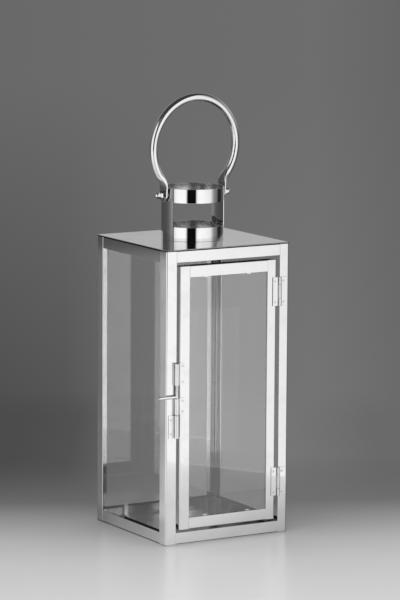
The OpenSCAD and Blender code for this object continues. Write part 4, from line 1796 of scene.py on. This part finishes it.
@dataclass
class BailHandle:
    """The handle: a bar bent to a hoop whose two ends are beaten flat.

    Its centre line has, on each side, a straight flat end, an outward bend, a
    shoulder and the crown, each tangent to the next.

    Attributes:
        bar: Diameter of the bar.
        tab_thick: Thickness of a flat end.
        tab_wide: Width of a flat end.
        crown_r: Radius of the crown.
        crown_z: Height of its centre over the pivots.
        shoulder_r: Radius of the shoulders.
        shoulder_turn: Angle above level at which crown and shoulders meet.
        neck_r: Radius of the outward bends.
        flare: Length past the neck in which the bar gets round.
        play: How far a flat end stays off its washer.
        lean: Lean of the handle towards the door in degrees.
        sides: Points round the bar.
        flatness: Exponents of the superellipse on the flat ends and the bar.
        steps: Points along an end's round tip, its arm, the flare and the
            hoop up to its top.
    """

    bar: float = 9.0
    tab_thick: float = 2.2
    tab_wide: float = 16.0
    crown_r: float = 52.0
    crown_z: float = 58.5
    shoulder_r: float = 58.0
    shoulder_turn: float = 45.6
    neck_r: float = 14.0
    flare: float = 6.0
    play: float = 0.05
    lean: float = 4.2
    sides: int = 72
    flatness: tuple[float, float] = (6.0, 2.0)
    steps: tuple[int, int, int, int] = (16, 5, 26, 60)

    def line(
        self, s: np.ndarray, arm_x: float,
    ) -> tuple[np.ndarray, np.ndarray, np.ndarray, tuple[float, float, float]]:
        """Centre line of the right half by length from the pivot.

        Neck, shoulder and crown are arcs. The neck's turn is the angle whose
        cosine is the distance across between the neck's and the shoulder's
        centres over the sum of their radii.

        Args:
            s: Lengths along it.
            arm_x: Distance of a flat end's middle from the handle's middle.

        Returns:
            x, height over the pivot, the angle of the outward normal in
            radians, and the lengths at which arm, neck and half crown end.
        """
        turn = math.radians(self.shoulder_turn)
        away = self.shoulder_r - self.crown_r
        shoulder_x, shoulder_z = -away * math.cos(turn), self.crown_z - away * math.sin(turn)
        reach = self.shoulder_r + self.neck_r
        neck_turn = math.acos((arm_x - shoulder_x + self.neck_r) / reach)
        neck_z = shoulder_z - reach * math.sin(neck_turn)
        neck_end = neck_z + self.neck_r * neck_turn
        shoulder_end = neck_end + self.shoulder_r * (turn + neck_turn)
        crown_end = shoulder_end + self.crown_r * (math.pi / 2 - turn)
        a = (s - neck_z) / self.neck_r
        b = (s - neck_end) / self.shoulder_r - neck_turn
        c = (s - shoulder_end) / self.crown_r + turn
        parts = [s < neck_z, s < neck_end, s < shoulder_end]
        x = np.select(parts, [
            np.full_like(s, arm_x), arm_x + self.neck_r * (1 - np.cos(a)),
            shoulder_x + self.shoulder_r * np.cos(b),
        ], self.crown_r * np.cos(c))
        z = np.select(parts, [
            s, neck_z + self.neck_r * np.sin(a), shoulder_z + self.shoulder_r * np.sin(b),
        ], self.crown_z + self.crown_r * np.sin(c))
        angle = np.select(parts, [np.zeros_like(s), -a, b], c)
        return x, z, angle, (neck_z, neck_end, crown_end)

    def surface(self) -> Surface:
        """The whole handle, leaning, about its pivots.

        Each section is a superellipse: its half width and half thickness times
        the sine and the cosine to the power of two over an exponent that falls
        from its value on the flat ends to two on the round bar, smoothly along
        the flare. Under the pivot the half width follows the circle of the
        end. The left half mirrors the right one.

        Returns:
            The closed skin.
        """
        washer = limits("pivot_washers")[1][0]
        arm_x = washer + self.play + self.tab_thick / 2
        neck, shoulder, crown = self.line(np.zeros(1), arm_x)[3]
        bar_from = shoulder + self.flare
        tip = self.tab_wide / 2
        in_tip, in_arm, in_flare, in_hoop = self.steps
        s = np.concatenate([
            -tip * np.cos(np.radians(np.linspace(4, 88, in_tip))),
            np.linspace(0.5, neck - 0.4, in_arm),
            np.linspace(neck, bar_from, in_flare),
            np.linspace(bar_from, crown, in_hoop)[1:],
        ])
        x, z, angle, _ = self.line(s, arm_x)
        t = np.clip((s - neck) / (bar_from - neck), 0, 1)
        t = t * t * (3 - 2 * t)
        wide = np.where(s < 0, np.sqrt(np.maximum(0, tip**2 - s**2)), tip)
        wide = wide + (self.bar / 2 - wide) * t
        thick = self.tab_thick / 2 + (self.bar - self.tab_thick) / 2 * t
        flat, bar = self.flatness
        power = 2 / (flat - (flat - bar) * t)
        a = (np.arange(self.sides) + 0.5) * 2 * math.pi / self.sides
        c = np.sign(np.cos(a)) * np.abs(np.cos(a)) ** power[:, None]
        d = np.sign(np.sin(a)) * np.abs(np.sin(a)) ** power[:, None]
        out = thick[:, None] * c
        half = np.stack([
            x[:, None] + out * np.cos(angle)[:, None],
            wide[:, None] * d,
            z[:, None] + out * np.sin(angle)[:, None],
        ], axis=-1)
        other = half[-2::-1] * (-1, 1, 1)
        lean = math.radians(self.lean)
        tilt = np.array([[1, 0, 0], [0, math.cos(lean), math.sin(lean)],
                         [0, -math.sin(lean), math.cos(lean)]])
        skin = loft(np.concatenate([half, other]))
        skin.points = skin.points @ tilt
        return skin.moved(z=middle("pivot_washers")[2])

    def build(self) -> None:
        """Makes the handle."""
        place("bail_handle", self.surface(), Finishes.BAIL, Rides.BAIL)


# ------------------------------------------------------------------ studio


@dataclass(frozen=True)
class Fall:
    """A grey that changes with a place or a direction, through a ramp.

    Attributes:
        scale: Ramp positions for each unit of the value.
        start: The position at which the value is nought.
        stops: Pairs of position and grey.
    """

    scale: float
    start: float
    stops: tuple[tuple[float, float], ...]

    def level(self, value: Value) -> Value:
        """The grey at that value, in metres or as part of a direction."""
        return value.graph.ramp(value * self.scale + self.start, *self.stops)


@dataclass
class Studio:
    """The camera, the pale floor, the cards round the lantern and the light.

    "Near" is a place's distance in metres from the lantern's axis towards the
    camera and "across" its distance to the right. Each fall in capitals reads
    one of them, or how steeply a direction rises.

    Attributes:
        azimuth: Bearing of the camera from the lantern in degrees.
        elevation: Its height angle in degrees.
        distance: Its distance in metres.
        aim_z: Height of the point that it is aimed at in metres.
        slide_right: Sideways offset of camera and aim in metres.
        slide_up: Upward offset of camera and aim in metres.
        roll: Turn about the line of sight in degrees.
        lens: Focal length in millimetres.
        sensor: Width of the sensor in millimetres.
        far_end: Distance in metres up to which the camera sees.
        ambient: Level of the soft light from all round.
        glare: Brightness of a white card.
        floor_half: Half of the floor's width in metres.
        floor_rough: Roughness of the floor.
        floor_gloss: Its specular level.
        mottle: How much its paleness varies.
        slant: How much nearer a place counts in the floor's painted fall-off
        of light for each metre across.
        skew: How much nearer it counts in the floor's sheen for each metre to
            the left.
        edge_across: Where the table ends on the right; beyond it polished
            metal sees a white card.
        edge_near: Where that card ends at the back.
        lamp_width: Width of the overhead lamp in metres.
        lamp_power: Its power in watts.
        lamp_bearing: Its bearing from the camera's own in degrees.
        lamp_reach: Its distance from the lantern's axis in metres.
        lamp_height: Its height in metres.
        lamp_aim: Height in metres of the point that it is aimed at.
    """

    azimuth: float = -30.514
    elevation: float = 8.625
    distance: float = 3.77324
    aim_z: float = 0.230
    slide_right: float = 0.009113
    slide_up: float = 0.033667
    roll: float = 0.341
    lens: float = 197.7
    sensor: float = 36.0
    far_end: float = 60.0
    ambient: float = 1.0
    glare: float = 1.34
    floor_half: float = 9.0
    floor_rough: float = 0.3
    floor_gloss: float = 0.35
    mottle: float = 0.04
    slant: float = 0.08
    skew: float = 0.487
    edge_across: float = 0.39
    edge_near: float = -0.1
    lamp_width: float = 1.6
    lamp_power: float = 9.0
    lamp_bearing: float = -20.0
    lamp_reach: float = 0.7
    lamp_height: float = 1.9
    lamp_aim: float = 0.1

    # The floor: its paleness with painted fall-off of light, its fade into the backdrop and its
    # own end, by near.
    PAINTED_FALLOFF = Fall(0.5, 0.5, (
        (0.30, 0.09), (0.43, 0.17), (0.486, 0.33), (0.5375, 0.50), (0.5875, 0.585),
        (0.635, 0.62), (0.675, 0.65),
    ))
    FADE = Fall(0.25, 0.5, ((0.40, 1.0), (0.483, 0.0)))
    END = Fall(0.25, 0.5, ((0.28, 1.0), (0.33, 0.0)))
    # What polished metal sees on it besides: a sheen and, far left, a streak, by near;
    # where the streak takes over and where the sheen dims, by across.
    SHEEN = Fall(2.0, 0.1, (
        (0.10, 0.0), (0.156, 0.09), (0.194, 0.17), (0.25, 0.21), (0.33, 0.28),
        (0.37, 0.38), (0.5, 0.36),
    ))
    STREAK = Fall(2.0, 0.1, ((0.10, 0.17), (0.308, 0.17), (0.324, 0.55)))
    STREAK_FROM = Fall(-1.0, 0.0, ((0.13, 0.0), (0.20, 1.0)))
    SHEEN_DIMS = Fall(1.0, 0.0, ((0.12, 0.0), (0.42, 0.12)))
    # The backdrop low down and high up, by across, and the change between them, by rise.
    LOW = Fall(2.0, 0.5, (
        (0.04, 0.072), (0.19, 0.084), (0.28, 0.117), (0.5, 0.16), (0.76, 0.18),
        (0.84, 0.168), (0.98, 0.144),
    ))
    HIGH = Fall(2.0, 0.5, ((0.04, 0.141), (0.28, 0.147), (0.76, 0.155), (0.98, 0.133)))
    DOWN = Fall(-5.0, 0.0, ((0.42, 0.0), (0.96, 1.0)))
    # What polished metal sees of the world, by rise.
    WORLD = Fall(0.5, 0.5, (
        (0.48, 0.13), (0.53, 0.50), (0.62, 0.63), (0.72, 0.30), (0.82, 0.06),
    ))

    def camera(self) -> None:
        """Makes the camera and sets it as the scene's own."""
        az, el, turn = (math.radians(v) for v in (self.azimuth, self.elevation, self.roll))
        back = Vector((math.sin(az) * math.cos(el), -math.cos(az) * math.cos(el), math.sin(el)))
        right = Vector((math.cos(az), math.sin(az), 0))
        up = back.cross(right)
        right, up = (math.cos(turn) * right + math.sin(turn) * up,
                     math.cos(turn) * up - math.sin(turn) * right)
        stand = (Vector((0, 0, self.aim_z)) + back * self.distance
                 + right * self.slide_right + up * self.slide_up)
        data = bpy.data.cameras.new("studio_camera")
        data.sensor_width, data.lens, data.clip_end = self.sensor, self.lens, self.far_end
        camera = bpy.data.objects.new("studio_camera", data)
        facing = Matrix((right, up, back)).transposed().to_4x4()
        camera.matrix_world = Matrix.Translation(stand) @ facing
        bpy.context.scene.collection.objects.link(camera)
        bpy.context.scene.camera = camera

    def plan(self, bearing: np.ndarray, reach: np.ndarray) -> np.ndarray:
        """Points on the floor by bearing and distance.

        Args:
            bearing: Degrees to the right of the camera's own bearing.
            reach: Distance from the lantern's axis in metres.

        Returns:
            The x, y points in metres.
        """
        angle = np.radians(self.azimuth + np.asarray(bearing))
        return np.column_stack([reach * np.sin(angle), -reach * np.cos(angle)])

    def card(self, name: str, heights: tuple[float, ...], stations: list[tuple]) -> None:
        """A bent upright card that only polished metal and glass show.

        Args:
            name: Its name.
            heights: Heights in metres at which its glow is given, upwards.
            stations: For each of its corners the bearing, the distance and the
                glow at each of those heights, the last one held above.
        """
        rows, count = len(heights), len(stations)
        flat = self.plan(np.array([s[0] for s in stations]), np.array([s[1] for s in stations]))
        glow = np.array([[s[2 + min(row, len(s) - 3)] for s in stations] for row in range(rows)])
        points = np.concatenate([at_height(flat, height) for height in heights])
        here = (np.arange(rows - 1)[:, None] * count + np.arange(count - 1)).ravel()
        faces = np.column_stack([here, here + 1, here + 1 + count, here + count])
        mesh = bpy.data.meshes.new(name)
        mesh.from_pydata(points.tolist(), [], faces.tolist())
        colours = np.repeat(glow.ravel()[:, None] * self.glare, 4, axis=1)
        colours[:, 3] = 1
        layer = mesh.color_attributes.new("glow", "FLOAT_COLOR", "POINT")
        layer.data.foreach_set("color", colours.ravel())
        mesh.materials.append(self.card_material())
        card = bpy.data.objects.new(name, mesh)
        bpy.context.scene.collection.objects.link(card)
        LOG.info("%s: studio card", name)

    @staticmethod
    def card_material() -> bpy.types.Material:
        """Glow that shows after one mirror reflection and is otherwise clear.

        Returns:
            The material.
        """
        known = bpy.data.materials.get("studio_card")
        if known:
            return known
        made, g = begun("studio_card")
        made.cycles.emission_sampling = "NONE"
        glow = g.add("ShaderNodeAttribute", {"attribute_name": "glow"}, {}, "Color")
        shader = g.over(g.past(MIRRORED), g.clear(), g.glow(glow))
        g.add("ShaderNodeOutputMaterial", {}, {"Surface": shader})
        return made

    def cards(self) -> None:
        """The white cards left and right, the dark gap between them and the greys behind.

        Heights come first, then a station for each corner: its bearing from
        the camera's own, its distance and its glow, from below upwards.
        """
        self.card("card_right", (-0.30, 0.95), [
            (11.5, 1.36, 0.25, 0.2), (14.5, 1.37, 0.75, 0.7), (19, 1.06, 1.1, 1.05),
            (31, 0.78, 1.2, 1.1), (45, 0.57, 1.16, 1.0), (56, 0.48, 1.07, 0.95),
            (66, 0.44, 1.0, 0.9), (72, 0.42, 0.75, 0.7), (78, 0.41, 0.42, 0.4),
            (84, 0.40, 0.27, 0.27), (100, 0.41, 0.14, 0.14),
        ])
        self.card("card_left", (-0.30, 0.225, 0.24, 0.95), [
            (-19.5, 1.76, 0.2), (-23, 1.76, 0.75), (-26, 1.50, 1.1, 1.1, 1.1, 1.0),
            (-35, 1.15, 1.16, 1.16, 1.15, 1.1), (-50, 0.86, 1.16, 1.16, 1.15, 1.05),
            (-62, 0.75, 1.08, 1.08, 1.07, 1.0), (-70, 0.70, 0.85), (-76, 0.68, 0.36, 0.36, 0.35),
            (-84, 0.66, 0.22), (-96, 0.66, 0.14, 0.14, 0.12), (-104, 0.68, 0.32, 0.32, 0.10),
            (-106, 0.685, 0.48, 0.48, 0.09), (-108.4, 0.69, 0.45, 0.45, 0.09),
            (-109.4, 0.70, 0.23, 0.23, 0.085), (-119, 0.75, 0.155, 0.155, 0.08),
            (-135, 0.93, 0.10, 0.10, 0.07),
        ])
        self.card("card_gap", (-0.3, 1.2), [(-19.5, 1.78, 0.004), (11.5, 1.38, 0.004)])
        self.card("card_back", (-0.30, 0.19, 0.26, 0.42), [
            (100, 0.62, 0.11), (108, 0.64, 0.02), (121, 0.70, 0.02), (129, 0.76, 0.05),
            (150, 0.80, 0.09, 0.09, 0.14), (172, 0.85, 0.10, 0.10, 0.22),
            (190, 0.85, 0.09, 0.09, 0.15), (205, 0.85, 0.07), (225, 0.93, 0.07),
        ])

    def by_view(self, x: Value, y: Value) -> tuple[Value, Value]:
        """Near and across of a place or a direction."""
        az = math.radians(self.azimuth)
        return (x * math.sin(az) + y * -math.cos(az), x * math.cos(az) + y * math.sin(az))

    def ground(self, g: Graph, near: Value, across: Value) -> Value:
        """The floor as the eye sees it: pale with painted fall-off of light,
        fading into the backdrop and then gone.

        Args:
            g: The graph of the floor's material.
            near: The place's distance towards the camera.
            across: Its distance to the right.

        Returns:
            The shader.
        """
        # painted fall-off of light: the floor's colour darkens towards the back and a little to
        # the left
        lit = near + across * self.slant
        varied = g.noise(g.where(), 3.0, 3.0) * self.mottle + (1 - self.mottle / 2)
        pale = g.add("ShaderNodeBsdfPrincipled", {}, {
            "Base Color": g.neutral(self.PAINTED_FALLOFF.level(lit) * varied),
            "Roughness": self.floor_rough, "Specular IOR Level": self.floor_gloss,
        })
        backdrop = g.glow(g.neutral(self.LOW.level(across)))
        faded = g.over(self.FADE.level(lit), pale, backdrop)
        return g.over(self.END.level(near), faded, g.clear())

    def sheen(self, g: Graph, near: Value, across: Value) -> Value:
        """The glow that only mirror reflections of the floor show besides.

        It grows towards the camera and dims a little to the right. Far to the
        left a streak with a sharp edge takes its place.

        Args:
            g: The graph of the floor's material.
            near: The place's distance towards the camera.
            across: Its distance to the right.

        Returns:
            The shader.
        """
        near = near - across * self.skew * (0 - across > 0)
        sheen = self.SHEEN.level(near)
        dimmed = sheen * (1 - self.SHEEN_DIMS.level(across))
        streak = self.STREAK_FROM.level(across) * (self.STREAK.level(near) - sheen)
        return g.glow(g.neutral((dimmed + streak) * g.past(MIRRORED)))

    def floor(self) -> None:
        """A plain pale floor that fades into the backdrop behind the lantern.

        Its paleness falls from the front to the back along the camera's own
        bearing, as painted fall-off of light. Polished metal sees a sheen on it
        besides and, past the table's right edge, the white of a card.
        """
        half = self.floor_half
        mesh = bpy.data.meshes.new("studio_floor")
        corners = [(-half, -half, 0), (half, -half, 0), (half, half, 0), (-half, half, 0)]
        mesh.from_pydata(corners, [], [(0, 1, 2, 3)])
        made, g = begun("studio_floor")
        made.cycles.emission_sampling = "NONE"
        x, y, _ = g.axes(g.where())
        near, across = self.by_view(x, y)
        beside = g.past(MIRRORED) * (across > self.edge_across) * (near > self.edge_near)
        seen = g.over(beside, self.ground(g, near, across), g.glow(grey(self.glare)))
        shader = g.add("ShaderNodeAddShader", {}, {0: seen, 1: self.sheen(g, near, across)})
        g.add("ShaderNodeOutputMaterial", {}, {"Surface": shader})
        mesh.materials.append(made)
        floor = bpy.data.objects.new("studio_floor", mesh)
        bpy.context.scene.collection.objects.link(floor)
        LOG.info("studio_floor: studio floor")

    def lamp(self) -> None:
        """A wide soft lamp overhead, which polished metal doesn't see."""
        data = bpy.data.lights.new("overhead_lamp", "AREA")
        data.shape = "RECTANGLE"
        data.size, data.size_y = self.lamp_width, self.lamp_width
        data.energy = self.lamp_power
        lamp = bpy.data.objects.new("overhead_lamp", data)
        spot = self.plan(np.array([self.lamp_bearing]), np.array([self.lamp_reach]))[0]
        lamp.location = (spot[0], spot[1], self.lamp_height)
        aim = Vector((0, 0, self.lamp_aim)) - lamp.location
        lamp.rotation_euler = aim.to_track_quat("-Z", "Y").to_euler()
        lamp.visible_glossy = False
        bpy.context.scene.collection.objects.link(lamp)

    def world(self) -> None:
        """An even light from all round.

        To the eye and through glass it is the backdrop's soft grey, which
        falls off low on the left. To the floor it is the ambient level, and to
        the metal a grey that first rises with height and then falls.
        """
        world = bpy.data.worlds.new("studio_world")
        world.use_nodes = True
        world.cycles.sampling_method = "NONE"
        g = Graph(world.node_tree)
        x, y, up = g.axes(g.where("Generated"))
        across = self.by_view(x, y)[1] * self.distance
        high, low = self.HIGH.level(across), self.LOW.level(across)
        seen = high + self.DOWN.level(up) * (low - high)
        level = seen + g.past(SCATTERED) * (self.ambient - seen)
        level = level + g.past(MIRRORED) * (self.WORLD.level(up) - level)
        shine = g.add("ShaderNodeBackground", {}, {"Color": g.neutral(level), "Strength": 1.0})
        g.add("ShaderNodeOutputWorld", {}, {"Surface": shine})
        bpy.context.scene.world = world

    def build(self) -> None:
        """Makes the studio."""
        self.camera()
        self.floor()
        self.cards()
        self.lamp()
        self.world()
        bpy.context.scene.view_settings.view_transform = "Standard"


def main() -> None:
    """Loads the frame and builds the studio and the lantern."""
    logging.basicConfig(level=logging.INFO, format="%(name)s %(message)s")
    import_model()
    Studio().build()
    Casing().build()
    glazing = Glazing()
    glazing.build()
    Chimney().build()
    Pivots().build()
    Door().build(glazing)
    hinges, latch = Hinges(), Latch()
    hinges.build()
    latch.build()
    Rivets().build(hinges, latch)
    BailHandle().build()


if __name__ == "__main__":
    main()
